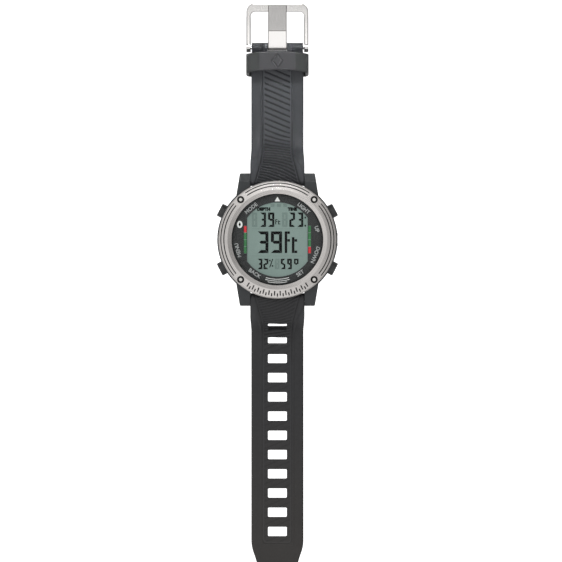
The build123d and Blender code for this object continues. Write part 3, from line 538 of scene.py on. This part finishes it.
class StrapLine:
    """The side view of a strap half: top and bottom lines matched by the distance along the strap.

    On the flat stretch, the distance along is the same as Y.
    """

    def __init__(self, flat_z, end_y, roll_radius=None):
        turn = radians(bend_degrees)
        normal = np.array((sin(turn), cos(turn)))
        slope = np.array((cos(turn), -sin(turn)))
        flat_top = flat_z + strap_thickness
        drop = strap_top_z - flat_top
        straight = (drop - (crest_radius + foot_radius) * (1 - cos(turn))) / sin(turn)
        crest_centre = np.array((bend_start_y, strap_top_z - crest_radius))
        crest_end = crest_centre + crest_radius * normal
        foot_start = crest_end + straight * slope
        foot_centre = foot_start + foot_radius * normal
        crest_foot = crest_end - strap_thickness * normal
        # The moulded root: shoulder and crest above, the knuckle round the spring bar below
        side = math.degrees(math.acos(-knuckle_radius / shoulder_radius))
        shoulder = arc((bar_y, bar_z), shoulder_radius, side, 90)
        crest = arc(crest_centre, crest_radius, 90, 90 - bend_degrees)
        knuckle = arc((bar_y, bar_z), knuckle_radius, 180, 360 + heel_degrees, 40)
        root_top, root_bottom = np.vstack((shoulder, crest)), np.vstack((knuckle, [crest_foot]))
        # The strip beyond it keeps one thickness
        foot_top, foot_bottom = (
            arc(foot_centre, radius, 270 - bend_degrees, 270, 40)
            for radius in (foot_radius, foot_radius + strap_thickness)
        )
        mid_radius = foot_radius + strap_thickness / 2
        foot_turns = np.radians(270 - np.linspace(270 - bend_degrees, 270, 40))
        foot_along = foot_top[-1, 0] - mid_radius * foot_turns
        crest_along = foot_along[0] - straight
        fractions = np.linspace(0, 1, 60)[:-1]
        root_along = crest_along - lengths_along(root_top)[-1] * (1 - fractions)
        end_top, end_bottom, end_along = [(end_y, flat_top)], [(end_y, flat_z)], [end_y]
        if roll_radius:
            roll_start = pin_y - 2.4
            roll = arc((pin_y, pin_z), roll_radius, 112, 0, 20)
            end_top = np.vstack(([(roll_start, flat_top)], roll))
            end_bottom = end_top * (1, -1) + (0, 2 * pin_z)
            end_along = roll_start + lengths_along(end_top)
        top_parts = (resample(root_top, fractions), [crest_end], foot_top, end_top)
        bottom_parts = (resample(root_bottom, fractions), [crest_foot], foot_bottom, end_bottom)
        self.top, self.bottom = np.vstack(top_parts), np.vstack(bottom_parts)
        self.along = np.concatenate((root_along, [crest_along], foot_along, end_along))
        tangent = np.gradient(self.top, self.along, axis=0)
        tangent /= np.linalg.norm(tangent, axis=1)[:, None]
        self.normal = np.column_stack((-tangent[:, 1], tangent[:, 0]))

    def at(self, along):
        """Top points, bottom points and upward normals, each as arrays of Y and Z."""

        def read(table):
            return [np.interp(along, self.along, table[:, k]) for k in (0, 1)]

        normal_y, normal_z = read(self.normal)
        size = np.hypot(normal_y, normal_z)
        return read(self.top), read(self.bottom), (normal_y / size, normal_z / size)


def flare(y, start, softness, slope):
    """How far an edge line has moved outwards where it opens towards the lugs."""
    return slope * (np.hypot(start - y, softness) + start - y)


def groove_pitch(y):
    """Distance from groove to groove, seen from above: closest where the strap bends."""
    past_bend = y - bend_middle_y
    beyond = 2.35 - 1.41 * np.exp(-((past_bend / 6) ** 2))
    before = 1.3 - 0.36 * np.exp(-((past_bend / 4) ** 2))
    return np.where(past_bend > 0, beyond, before)


widest_groove = 0.42
scale_step = 0.05
groove_scale_y = np.arange(15, 140, scale_step)
groove_count = np.concatenate(([0], np.cumsum(scale_step / groove_pitch(groove_scale_y[:-1]))))


def strap_relief(x, y, panel_end, groove_depth, edge_depth):
    """The moulded pattern's height and tone: a panel of slanted grooves inside a raised border.

    The tone is painted light: -1 for painted shade in the grooves and the cut, and 1 for painted
    highlights on the border ridge and the bent sides.
    """
    away, flat = np.abs(x), smoothstep(y, 34, 42)
    half_panel = 5.45 + flare(y, 34.6, 1.5, 0.135)
    half_band = 6.5 + flare(y, 34.6, 2.0, 0.24)
    border = box_distance(x, y, half_panel, panel_end, 1.2)
    # A ridge round the panel, a narrow cut outside it, then the strap's sides, a step lower
    height = edge_depth * (0.5 * bump(border, 0.3) - bump(border - 0.42, 0.26))
    aside = np.maximum(away - half_band, y - panel_end - 1.0)
    step = edge_depth * (0.5 + 1.1 * (1 - smoothstep(y, 36, 46)))
    lean = 0.1 * np.maximum(aside - 0.35, 0) * (1 - flat) * smoothstep(y, 24, 30)
    height = height - step * smoothstep(aside, 0.0, 0.35) - lean
    # Slanted grooves, closer together and less steep where the strap bends
    slant = 0.43 * (1 - 0.76 * np.exp(-(((y - bend_middle_y) / 6.5) ** 2)))
    bow = 0.0105 * (1 - flat)
    level = y + slant * x + bow * x**2
    turns = np.interp(level, groove_scale_y, groove_count)
    pitch = groove_pitch(level)
    distance = np.abs(turns - np.round(turns)) * pitch / np.hypot(1, slant)
    half_groove = widest_groove * np.minimum(1, pitch)
    depth = groove_depth * half_groove / widest_groove
    inside = 1 - smoothstep(border, -0.5, -0.2)
    groove = np.clip(1 - distance / half_groove, 0, 1) ** 0.8
    # Painted highlight on the border ridge where the strap is flat, and painted shade in the cut
    # beside it where it bends
    bent = 1 - smoothstep(y, 40, 52)
    side_glow = bump(y - 31.5, 8) * smoothstep(away, 7.6, 9.6)
    tone = 0.24 * bump(border, 0.35) * (1 - bent) - 0.75 * bump(border - 0.42, 0.4) * bent
    # Painted shade in the grooves, and a painted highlight on the sides where the strap bends
    tone = tone - 0.8 * groove * inside * (depth / widest_groove) ** 0.35 + 0.2 * side_glow
    return height - depth * groove * inside, tone


taper_start, taper_line = 121, 127.2


def tail_shape(along, share):
    """The strap's half width at a distance along it, and how far its rounded tip pulls back."""
    curve = np.clip((along - taper_start) / (taper_line - taper_start), 0, 1)
    half = strap_width / 2 - 1.3 * curve**2 - np.maximum(along - taper_line, 0) * (2.6 / 8.4)
    pull = smoothstep(along, 131, tail_tip_y) * (1.6 * share**2 + 1.8 * share**8)
    return half, pull


def plain_shape(along, share):
    """The strap's half width: it fills the gap between the lugs, then narrows."""
    return strap_width / 2 + 0.44 * (1 - smoothstep(along, 26, 36)), 0 * share


def buckle_shape(along, share):
    half, pull = plain_shape(along, share)
    return half - 0.2 * smoothstep(along, pin_y - 6, pin_y), pull


def edge_steps(*angles):
    """How far from the edge its rounding reaches at these angles."""
    return [edge_radius * (1 - cos(radians(angle))) for angle in angles]


def strap_piece(
    name, line, start, stop, side, shape, relief, step, slots=(), notch=None, tip=False
):
    """A closed mesh of one length of strap, from a grid of rows along it and columns across it."""
    half_width = strap_width / 2
    lip_steps = (0, 0.3 * slot_lip, slot_lip)
    row_knots, column_knots = [start, stop], [0.0, steady_half]
    for centre in slots:
        for reach in [slot_half_y - slot_corner, slot_half_y - slot_corner / 2]:
            row_knots += [centre - reach, centre + reach]
        for lip in lip_steps:
            row_knots += [centre - slot_half_y - lip, centre + slot_half_y + lip]
    if notch:
        row_knots += [notch[1] - lip for lip in (0, notch_lip / 3, notch_lip)]
    if slots or notch:
        column_knots += [slot_half_x - slot_corner, slot_half_x - slot_corner / 2]
        column_knots += [slot_half_x + lip for lip in lip_steps]
    if tip:
        row_knots += [stop - back for back in edge_steps(30, 50, 70, 90)]
    rows = fill(sorted(set(row_knots)), step)
    edge_columns = [half_width - back for back in edge_steps(90, 67, 45, 22, 0)]
    right = fill(sorted(set(column_knots)) + edge_columns, 1.1 * step)
    columns = np.concatenate((-right[:0:-1], right))

    share = columns / half_width
    along, across = np.meshgrid(rows, columns, indexing="ij")
    half_here, _ = shape(along, share[None, :])
    beyond = np.maximum(np.abs(across) - steady_half, 0)
    stretch = (half_here - steady_half) / (half_width - steady_half)
    across = across + np.sign(across) * beyond * (stretch - 1)
    _, pull = shape(along, across / half_here)
    edge = half_here - np.abs(across)
    drop = rounding(np.maximum(edge, 0), edge_radius)
    if tip:
        drop = np.maximum(drop, rounding(stop - along, edge_radius))

    # Slots: their square corners are pulled onto arcs and their rims rounded
    kept = np.ones((len(rows) - 1, len(columns) - 1), bool)
    row_middle = (rows[:-1] + rows[1:]) / 2
    open_columns = np.abs(columns[:-1] + columns[1:]) / 2 < slot_half_x
    for centre in slots:
        kept &= ~np.outer(np.abs(row_middle - centre) < slot_half_y, open_columns)
        a = (np.abs(across) - slot_half_x + slot_corner) / slot_corner
        b = (np.abs(along - centre) - slot_half_y + slot_corner) / slot_corner
        near = (a > 0) & (b > 0) & (a < 2) & (b < 2)
        reach = np.maximum(a, b)
        fade = np.where(near, np.clip(2 - reach, 0, 1), 0)
        pull_in = (reach / np.maximum(np.hypot(a, b), 1e-9) - 1) * fade * slot_corner
        across = across + np.sign(across) * a * pull_in
        along = along + np.sign(along - centre) * b * pull_in
        rim = box_distance(across, along - centre, slot_half_x, slot_half_y, slot_corner)
        drop = np.maximum(drop, rounding(np.maximum(rim, 0), slot_lip))
    if notch:
        half_notch, notch_start = notch
        kept &= ~np.outer(row_middle > notch_start, open_columns)
        away = np.maximum(np.abs(across) - half_notch, notch_start - along)
        drop = np.maximum(drop, rounding(np.maximum(away, 0), notch_lip))

    along = along - pull
    (top_y, top_z), (bottom_y, bottom_z), (normal_y, normal_z) = line.at(along)
    lift, tone = relief(across, top_y)
    lift = lift * (1 - smoothstep(drop, 0.05, 0.4))
    thick = np.hypot(top_y - bottom_y, top_z - bottom_z)
    drop = np.minimum(drop, thick * 0.42)
    up = lift - drop
    top = np.dstack((across, side * (top_y + normal_y * up), top_z + normal_z * up))
    bottom = np.dstack((across, side * (bottom_y + normal_y * drop), bottom_z + normal_z * drop))
    points = np.vstack((top.reshape(-1, 3), bottom.reshape(-1, 3)))
    faces = grid_faces(kept, len(columns), side < 0)
    used, faces = np.unique(faces, return_inverse=True)
    made = add_mesh(name, points[used], faces.reshape(-1, 4).tolist(), "strap_rubber")
    # The tone attribute carries the painted shade and painted highlights of the relief
    tones = np.concatenate((tone.ravel(), np.zeros(tone.size)))[used]
    made.data.attributes.new("tone", "FLOAT", "POINT").data.foreach_set("value", tones)
    return made


def grid_faces(kept, column_count, flip):
    """Quads of a slab between two grids: both skins of each kept cell, and a wall at each edge."""
    count = (kept.shape[0] + 1) * column_count
    number = np.arange(count).reshape(-1, column_count)
    corners = [number[:-1, :-1], number[:-1, 1:], number[1:, 1:], number[1:, :-1]]
    padded = np.pad(kept, 1)
    gaps = [padded[:-2, 1:-1], padded[1:-1, 2:], padded[2:, 1:-1], padded[1:-1, :-2]]
    top = np.stack([c[kept] for c in corners], axis=1)
    quads = [top, top[:, ::-1] + count]
    for k, beyond in enumerate(gaps):
        edge = kept & ~beyond
        first, second = corners[k][edge], corners[(k + 1) % 4][edge]
        quads.append(np.stack((second, first, first + count, second + count), axis=1))
    faces = np.vstack(quads)
    return faces[:, ::-1] if flip else faces


long_line = StrapLine(long_flat_z, tail_tip_y + 1)
buckle_line = StrapLine(buckle_flat_z, pin_y, roll_radius=1.9)
panel_end_long = 122.0
panel_end_buckle = 90.0


def long_relief(x, y):
    """The long half's pattern, shallower where the strap is flat, with its painted highlights
    weakened.
    """
    height, tone = strap_relief(x, y, panel_end_long, 0.08 + 0.2 * (1 - smoothstep(y, 36, 48)), 0.2)
    return height, np.where(tone > 0, 0.45 * tone, tone)


def buckle_relief(x, y):
    """The buckle half's pattern, with a painted highlight that makes its grooved panel paler than the
    sides past the bend.
    """
    height, tone = strap_relief(x, y, panel_end_buckle, 0.42 * (1 - smoothstep(y, 69, 72)), 0.22)
    return height, tone + 0.2 * smoothstep(5.7 - np.abs(x), 0, 0.3) * smoothstep(y, 36, 46)


section_middles = [(a + b) / 2 for a, b in zip(long_flex_y[:-1], long_flex_y[1:])]
cuts = [long_line.along[0]] + section_middles + [tail_tip_y]
long_sections = [f"long_strap_section_{k}" for k in (1, 2, 3, 4)]
long_bodies = ["long_strap_root", *long_sections, "long_strap_tail"]


def bend_between(piece, bodies, k):
    """Bakes a length of strap's placement into its mesh, and hides the solids it stands for."""
    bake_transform(piece)
    last = k == len(bodies) - 2
    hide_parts(*bodies[k : k + 1 + last])


for k, (start, stop) in enumerate(zip(cuts[:-1], cuts[1:])):
    name, last = f"long_strap_length_{k + 1}", stop == cuts[-1]
    shape, slots = tail_shape if last else plain_shape, [y for y in slots_along if start < y < stop]
    piece = strap_piece(
        name, long_line, start, stop, -1, shape, long_relief, long_step, slots, tip=last
    )
    bend_between(piece, long_bodies, k)

buckle_middle = sum(buckle_flex_y) / 2
buckle_bodies = ["buckle_strap_root", "buckle_strap_middle", "buckle_strap_end"]
buckle_lengths = (
    (buckle_line.along[0], buckle_middle, plain_shape, None),
    (buckle_middle, buckle_line.along[-1], buckle_shape, (slot_half_x, pin_y - 2.2)),
)
for k, (start, stop, shape, notch) in enumerate(buckle_lengths):
    name = f"buckle_strap_length_{k + 1}"
    piece = strap_piece(
        name, buckle_line, start, stop, 1, shape, buckle_relief, buckle_step, notch=notch
    )
    bend_between(piece, buckle_bodies, k)

# ---- keeper

keeper_low, keeper_high = node_box("keeper_loop")
keeper_foot_depth, keeper_head_depth = 8.8, 7.6
keeper_wall = 1.4
keeper_round = 0.5
facet_start, facet_fall = 7.4, 0.21


def facet_drop(x):
    """How far the keeper's top has dropped: flat, then a straight facet to each side."""
    beyond = np.abs(x) - facet_start
    return facet_fall * (np.hypot(beyond, 0.4) + beyond) / 2


def crowned_loop(half_width, bottom, top, corner):
    """Points round a box section with a faceted top, from the middle of its foot."""
    corner_x = half_width - corner
    lean = 90 - math.degrees(math.atan(facet_fall))
    top_end = corner_x + corner * cos(radians(lean))
    upper = top - facet_drop(top_end) - corner * sin(radians(lean))
    top_x = np.linspace(top_end, 0, 60)
    foot = np.linspace((0, bottom), (corner_x, bottom), 30)[:-1]
    low_corner = arc((corner_x, bottom + corner), corner, -90, 0, 9)[:-1]
    wall = np.linspace((half_width, bottom + corner), (half_width, upper), 20)[:-1]
    high_corner = arc((corner_x, upper), corner, 0, lean, 9)[:-1]
    roof = np.column_stack((top_x, top - facet_drop(top_x)))
    right = np.vstack((foot, low_corner, wall, high_corner, roof))
    return np.vstack((right, right[-2:0:-1] * (-1, 1)))


def keeper_mesh():
    """A faceted rubber loop that leans to the buckle, with a lozenge cut into its top."""
    (_, low_y, low_z), (half, high_y, high_z) = keeper_low, keeper_high
    outer = crowned_loop(half, low_z, high_z, 1.6)
    inner = crowned_loop(half - keeper_wall, low_z + keeper_wall, high_z - keeper_wall, 0.5)
    share = (outer[:, 1] - low_z) / (high_z - low_z)
    near = low_y + share * (high_y - keeper_head_depth - low_y)
    far = low_y + keeper_foot_depth
    far = far + share * (high_y - far)
    # Seen from above, both edges of the top are bowed
    bow = -0.85 * (outer[:, 0] / half) ** 2 * smoothstep(share, 0.3, 0.9)
    near, far = near + bow, far + bow
    # The band's section: the share of the way across, a shift in Y, and a depth into the wall
    r, turn = keeper_round, [radians(a) for a in (0, 30, 60, 90)]
    section = [(0, r - r * cos(a), r - r * sin(a)) for a in turn]
    section += [(k / 44, r * (1 - 2 * k / 44), 0) for k in range(1, 44)]
    section += [(1, -(r - r * cos(a)), r - r * sin(a)) for a in reversed(turn)]
    section += [(1, -(r - r * cos(a)), keeper_wall - r + r * sin(a)) for a in turn]
    section += [(1 - k / 10, -r * (1 - 2 * k / 10), keeper_wall) for k in range(1, 10)]
    section += [(0, r - r * cos(a), keeper_wall - r + r * sin(a)) for a in reversed(turn)]
    points = []
    for place, shift, depth in section:
        y = near + (far - near) * place + shift
        point = outer + (inner - outer) * (depth / keeper_wall)
        if depth == 0:
            lozenge = np.abs(point[:, 0]) / 2.5 + np.abs(y - (near + far) / 2) / 3.2
            cut_in = 0.32 * bump(lozenge - 0.8, 0.24) * (share > 0.8)
            point = point - np.outer(cut_in, (0, 1))
        points.append(np.column_stack((point[:, 0], y, point[:, 1])))
    points = np.stack(points, axis=1)
    around, across = points.shape[:2]
    number = np.arange(around * across).reshape(around, across)
    after = np.roll(number, -1, axis=0)
    beside, after_beside = np.roll(number, -1, axis=1), np.roll(after, -1, axis=1)
    faces = np.stack((number, after, after_beside, beside), axis=2).reshape(-1, 4).tolist()
    return add_mesh("keeper_band", points.reshape(-1, 3), faces, "keeper_rubber")


keeper = keeper_mesh()
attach(keeper, "keeper")
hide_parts("keeper_loop")

# ---- button springs

spring_wire = 0.15
spring_turns = 5.5


def coil(centre, axis, length, radius):
    """A compression spring with closed ends, wound round an axis in the XY plane."""
    angles = np.linspace(0, 2 * pi * spring_turns, int(spring_turns * 40))
    share = angles / angles[-1]
    rise = smoothstep(share, 0.0, 0.16) * 0.08 + np.clip((share - 0.1) / 0.8, 0, 1) * 0.84
    rise = rise + smoothstep(share, 0.84, 1.0) * 0.08
    across = np.array((-axis[1], axis[0], 0))
    up = np.array((0, 0, 1.0))
    radial = np.outer(np.cos(angles), across) + np.outer(np.sin(angles), up)
    start = centre - axis * (length / 2 - spring_wire)
    path = start + np.outer(rise, axis) * (length - 2 * spring_wire) + radial * radius
    tangent = np.gradient(path, axis=0)
    tangent /= np.linalg.norm(tangent, axis=1)[:, None]
    binormal = np.cross(tangent, radial)
    sides = 8
    ring = arc((0, 0), spring_wire, 0, 360, sides + 1)[:-1]
    points = path[:, None] + ring[:, :1] * radial[:, None] + ring[:, 1:] * binormal[:, None]
    number = np.arange(len(path) * sides).reshape(-1, sides)
    ahead = np.roll(number, -1, axis=1)
    faces = np.stack((number[:-1], ahead[:-1], ahead[1:], number[1:]), axis=2).reshape(-1, 4).tolist()
    faces += [number[0][::-1].tolist(), number[-1].tolist()]
    return points.reshape(-1, 3), faces


for place in ("upper_right", "upper_left", "lower_left", "lower_right"):
    joint = joints[f"{place}_button_press"]
    outward = -np.array(joint["axis"], float)
    low, high = node_box(f"{place}_button_spring")
    centre, size = (low + high) / 2, high - low
    outer_radius = size[2] / 2
    length = (size[0] - 2 * outer_radius * abs(outward[1])) / abs(outward[0])
    spring_mesh = coil(centre, outward, length, outer_radius - spring_wire)
    spring = add_mesh(f"{place}_spring_coil", *spring_mesh, "spring_steel")
    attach(spring, "case")
    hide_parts(f"{place}_button_spring")
    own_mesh(spring)

# ---- display

ink = speckled("display_ink", (9, 10, 11), (13, 14, 15), 500, 0.6, 0.1)
faint_ink = speckled("display_faint_ink", (139, 157, 151), (144, 161, 155), 500, 0.5, 0.2)
# The tiles carry a painted glow, though no lamp lights them from within
red_tile = speckled("tile_red", (236, 54, 64), (226, 48, 58), 500, 0.5, painted_glow=0.22)
green_tile = speckled("tile_green", (72, 146, 90), (66, 136, 82), 500, 0.5, painted_glow=0.08)
print_grey = speckled("print_grey", (226, 226, 226), (214, 214, 214), 500, 0.6, 0.2)
# The white print carries a painted glow too
print_white = speckled("print_white", (246, 246, 244), (238, 238, 236), 500, 0.6, 0.2, painted_glow=0.3)

SEGMENTS = {"2": "abged", "3": "abgcd", "5": "afgcd", "8": "abcdefg", "9": "abcdfg", "ring": "abfg"}


def segment_outlines(sign, left, right, bottom, top, stroke):
    """Outlines of the lit segments of a seven-segment sign inside a box, with mitred corners."""
    gap = 0.035 * stroke
    half = stroke / 2
    middle = (bottom + top) / 2

    def end_bar(y, inward):
        """The bar along the top or the bottom."""
        inner = y + inward * stroke
        bar = [(left + gap, y), (right - gap, y)]
        bar += [(right - gap - stroke, inner), (left + gap + stroke, inner)]
        return bar if inward > 0 else bar[::-1]

    def upright(x, inward, y, towards):
        """One upright, from its mitred corner at y to its pointed end by the middle bar."""
        inner = x + inward * stroke
        corner, shoulder = y + towards * gap, middle - towards * (half + gap)
        post = [(x, corner), (inner, corner + towards * stroke), (inner, shoulder)]
        post += [(x + inward * half, middle - towards * gap), (x, middle - towards * gap)]
        return post if inward * towards < 0 else post[::-1]

    near, far = left + stroke + gap, right - stroke - gap
    middle_bar = [(left + half + gap, middle), (near, middle - half), (far, middle - half)]
    middle_bar += [(right - half - gap, middle), (far, middle + half), (near, middle + half)]
    shapes = {
        "a": end_bar(top, -1),
        "d": end_bar(bottom, 1),
        "g": middle_bar,
        "b": upright(right, -1, top, -1),
        "c": upright(right, -1, bottom, 1),
        "e": upright(left, 1, bottom, 1),
        "f": upright(left, 1, top, -1),
    }
    return [shapes[letter] for letter in SEGMENTS[sign]]


def rectangle(left, right, bottom, top):
    return [(left, bottom), (right, bottom), (right, top), (left, top)]


def unit_outlines(left, right, bottom, top, stroke):
    """A small f and t side by side, from plain bars."""
    gap, cross = 0.16 * (right - left), bottom + 0.64 * (top - bottom)
    half = (right - left - gap) / 2
    bars = []
    for start, hook, crown in ((left, top - stroke, top), (left + half + gap, bottom, cross + gap)):
        bars.append(rectangle(start, start + stroke, bottom, crown))
        bars.append(rectangle(start + stroke + 0.05, start + half, hook, hook + stroke))
        bars.append(rectangle(start + stroke + 0.05, start + half, cross - stroke, cross))
    return bars


def plates(name, outlines, low, thickness, material, slot):
    """Thin flat prints on the case's inner parts."""
    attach(add_mesh(name, *prisms(outlines, low, low + thickness), slot, material), "case")


# Bottom, top and stroke of each row, then its signs with their left and right
upper_row, lower_row = (5.1, 10.9), (-11.9, -7.7)
sign_rows = (
    (*upper_row, 0.86, [("3", -6.9, -4.6), ("9", -3.75, -1.25), ("2", 4.8, 7.1), ("3", 8.05, 10.4)]),
    (-5.4, 3.3, 1.22, [("3", -7.9, -3.6), ("9", -2.6, 1.85)]),
    (*lower_row, 0.72, [("3", -7.9, -6.05), ("2", -5.6, -3.65), ("5", 1.4, 3.2), ("9", 3.95, 5.8)]),
    (*lower_row, 0.62, [("ring", 6.7, 8.5)]),
)
shown = []
for bottom, top, stroke, signs in sign_rows:
    for sign, left, right in signs:
        shown += segment_outlines(sign, left, right, bottom, top, stroke)
shown += unit_outlines(-0.85, 1.15, 6.1, 8.2, 0.34) + unit_outlines(2.95, 7.95, -5.4, 3.3, 1.0)
colon_x = 11.2
shown += [rectangle(colon_x - 0.3, colon_x + 0.3, y - 0.35, y + 0.35) for y in (5.6, 8.85)]
# A small share sign: two dots and a slash
dots = ((-3.05, -8.4), (-1.95, -10.6))
shown += [rectangle(x - 0.3, x + 0.3, y - 0.3, y + 0.3) for x, y in dots]
shown.append([(-3.3, -11.2), (-2.9, -11.2), (-1.7, -7.8), (-2.1, -7.8)])
ink_z = lcd_top_z + 0.005
plates("display_signs", shown, ink_z, 0.02, ink, "lcd_grey")

ghosts = []
for left, right in ((-10.3, -8.1), (1.9, 4.1)):
    ghosts += segment_outlines("8", left, right, *upper_row, 0.86)
ghosts += segment_outlines("8", -1.0, 0.8, *lower_row, 0.66)
ghosts += [rectangle(x - 0.8, x + 0.8, 13.1, 14.3) for x in (-2.0, 0.6, 3.2)]
ghosts += [rectangle(-10.4, 10.4, y - 0.08, y + 0.08) for y in (4.35, -6.6)]
plates("display_faint_signs", ghosts, ink_z, 0.01, faint_ink, "lcd_grey")


def label(name, text, size, centre, turn_degrees, low, material, weight):
    """A word in plain capitals, as a thin raised print."""
    curve = bpy.data.curves.new(name, "FONT")
    curve.body = text
    curve.size = size * MM
    curve.align_x, curve.align_y = "CENTER", "CENTER"
    curve.resolution_u = 3
    curve.extrude = 0.006 * MM
    curve.offset = weight * size * MM
    holder = placed(f"{name}_outline", curve)
    holder.location = Vector((*centre, low + 0.006)) * MM
    holder.rotation_euler[2] = radians(turn_degrees)
    bpy.context.view_layer.update()
    evaluated = holder.evaluated_get(bpy.context.evaluated_depsgraph_get())
    mesh = bpy.data.meshes.new_from_object(evaluated)
    mesh.transform(holder.matrix_world)
    bpy.data.objects.remove(holder)
    mesh.materials.clear()
    mesh.materials.append(material)
    made = placed(name, mesh)
    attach(made, "case")


label("display_label_left", "DEPTH", 1.7, (-5.5, 12.2), 0, ink_z, ink, 0.09)
label("display_label_right", "TIME", 1.7, (6.05, 12.2), 0, ink_z, ink, 0.09)

# Coloured tiles under the two narrow windows of the mask
strip_x, strip_half_length, tile_half_width, tile_gap = 12.95, 5.6, 0.65, 0.12
tile_length = 2 * strip_half_length / 4
for side_name, middle, colours in (("left", -strip_x, "rggg"), ("right", strip_x, "gggr")):
    for colour, material in (("red", red_tile), ("green", green_tile)):
        tops = [strip_half_length - tile_length * k for k in range(4) if colours[k] == colour[0]]
        sides = (middle - tile_half_width, middle + tile_half_width)
        tiles = [rectangle(*sides, top - tile_length + tile_gap, top - tile_gap) for top in tops]
        plates(f"tiles_{side_name}_{colour}", tiles, ink_z, 0.04, material, "mask_print")

# ---- print on the mask

print_z = mask_top_z + 0.004
word_radius = 16.4
ring_words = {130: "MODE", 50: "LIGHT", 15: "UP", -22: "DOWN", -56: "SET", -124: "BACK", 195: "MENU"}
for angle, word in ring_words.items():
    place = [word_radius * part(radians(angle)) for part in (cos, sin)]
    # Words near the foot of the ring are turned round to stay readable
    turn = angle - 90 if sin(radians(angle)) > -0.6 else angle + 90
    name = f"mask_word_{word.lower()}"
    label(name, word, 2.1, place, turn, print_z, print_grey, 0.02)


def mask_plate(name, outlines, low=print_z, thickness=0.012, material=print_white):
    plates(name, outlines, low, thickness, material, "mask_print")


mask_plate("mask_pip", [[(-1.1, 15.4), (1.1, 15.4), (0, 17.3)]])
signal_centre = (-15.15, 6.1)
outline = arc((0, 0), 1, 0, 360, 37)[:-1] * (1.1, 1.45) + signal_centre
mask_plate("mask_signal", [outline.tolist()])
lozenge = arc((0, 0), 1, 0, 270, 4) * (0.5, 0.95) + signal_centre
mask_plate("mask_lozenge", [lozenge.tolist()], print_z + 0.014, 0.01, ink)
waves, wave_half_width = [], 0.11
for radius, half_angle in ((15.95, 17), (16.7, 17), (17.4, 13)):
    start, end = 270 - half_angle, 270 + half_angle
    outer = arc((0, 0), radius + wave_half_width, start, end, 30)
    inner = arc((0, 0), radius - wave_half_width, end, start, 30)
    waves.append(np.vstack((outer, inner)).tolist())
mask_plate("mask_waves", waves)

# ---- stage, light and camera


def floor_material():
    """A white sweep, seen from above only, so that the back of the object can be looked at."""
    shader = Shader("floor_white")
    colour = shader.mix(shader.noise(3, 2), [0.7, 0.7, 0.7, 1], [0.72, 0.72, 0.72, 1])
    seen = shader.node("LightPath").outputs["Is Camera Ray"]
    shader.set(Base_Color=colour, Roughness=0.9, Specular_IOR_Level=0.0)
    shader.set(Emission_Color=(1, 1, 1, 1), Emission_Strength=shader.span(seen, 0, 1, 0.25, 0.92))
    below = shader.node("NewGeometry").outputs["Backfacing"]
    shader.show_blend(below, shader.surface, shader.node("BsdfTransparent"))
    return shader.material


# The floor lies below the curled strap
floor_half, floor_z = 3000, -120
floor_corners = rectangle(-floor_half, floor_half, -floor_half, floor_half)
floor_mesh = bpy.data.meshes.new("floor")
floor_mesh.from_pydata([(x * MM, y * MM, floor_z * MM) for x, y in floor_corners], [], [[0, 1, 2, 3]])
floor_mesh.materials.append(floor_material())
placed("floor", floor_mesh)


def softbox(name, centre, target, width, height, radiance, spread_degrees=180):
    """A rectangular lamp of even brightness, which the camera doesn't see."""
    lamp = bpy.data.lights.new(name, "AREA")
    lamp.shape = "RECTANGLE"
    lamp.size, lamp.size_y = width * MM, height * MM
    lamp.energy = radiance * pi * lamp.size * lamp.size_y
    lamp.spread = radians(spread_degrees)
    holder = placed(name, lamp)
    holder.location = Vector(centre) * MM
    direction = Vector(target) - Vector(centre)
    holder.rotation_euler = direction.to_track_quat("-Z", "Y").to_euler()
    holder.visible_camera = False


softbox("strap_key", (0, 330, 260), (0, 90, 5), 220, 40, 1.0, 18)
softbox("buckle_softbox", (0, 72, 400), (0, 72, 0), 150, 44, 1.2)

world = bpy.data.worlds.new("studio")
bpy.context.scene.world = world
sky = NodeTree(world, "Generated")
sky_x, sky_y, sky_z = sky.axes()


def glow(centre_x, centre_y, width_x, width_y, strength):
    """A soft bright patch of the sky round a direction, given by its X and Y."""
    across = sky.product(sky.math("SUBTRACT", sky_x, centre_x), 1 / width_x)
    along = sky.product(sky.math("SUBTRACT", sky_y, centre_y), 1 / width_y)
    falling = sky.product(sky.sum(sky.product(across, across), sky.product(along, along)), -1)
    above = sky.span(sky_z, -0.05, 0.05)
    return sky.product(sky.math("EXPONENT", falling), above, strength)


# Even light, brighter to the left and the front, with patches that the bezel and the prong mirror
level = sky.sum(sky.product(sky_x, -0.25), sky.product(sky_y, -0.22), 0.61)
level = sky.sum(level, glow(0, 0.515, 0.45, 0.16, 1.05), glow(0, -0.35, 0.2, 0.13, 0.85))
# A dimmer horizon draws dark edges on the round steel bars
level = sky.product(level, sky.span(sky_z, 0.0, 0.35, 0.3, 1.0))
# The camera itself sees plain white
seen = sky.node("LightPath").outputs["Is Camera Ray"]
level = sky.sum(sky.product(level, sky.math("SUBTRACT", 1.0, seen)), seen)
background = sky.nodes["Background"]
sky.put(background.inputs["Strength"], level)
sky.put(background.inputs["Color"], (1, 1, 1, 1))

frame_width = 226.1
view_centre = (1.45, -16.66, 15.0)
camera_data = bpy.data.cameras.new("camera")
camera_data.lens = 1200
camera_data.sensor_width = 36
camera = placed("camera", camera_data)
distance = frame_width * camera_data.lens / camera_data.sensor_width
camera.location = (Vector(view_centre) + Vector((0, 0, distance))) * MM
camera_data.clip_end = 100
bpy.context.scene.camera = camera
bpy.context.scene.view_settings.view_transform = "Standard"
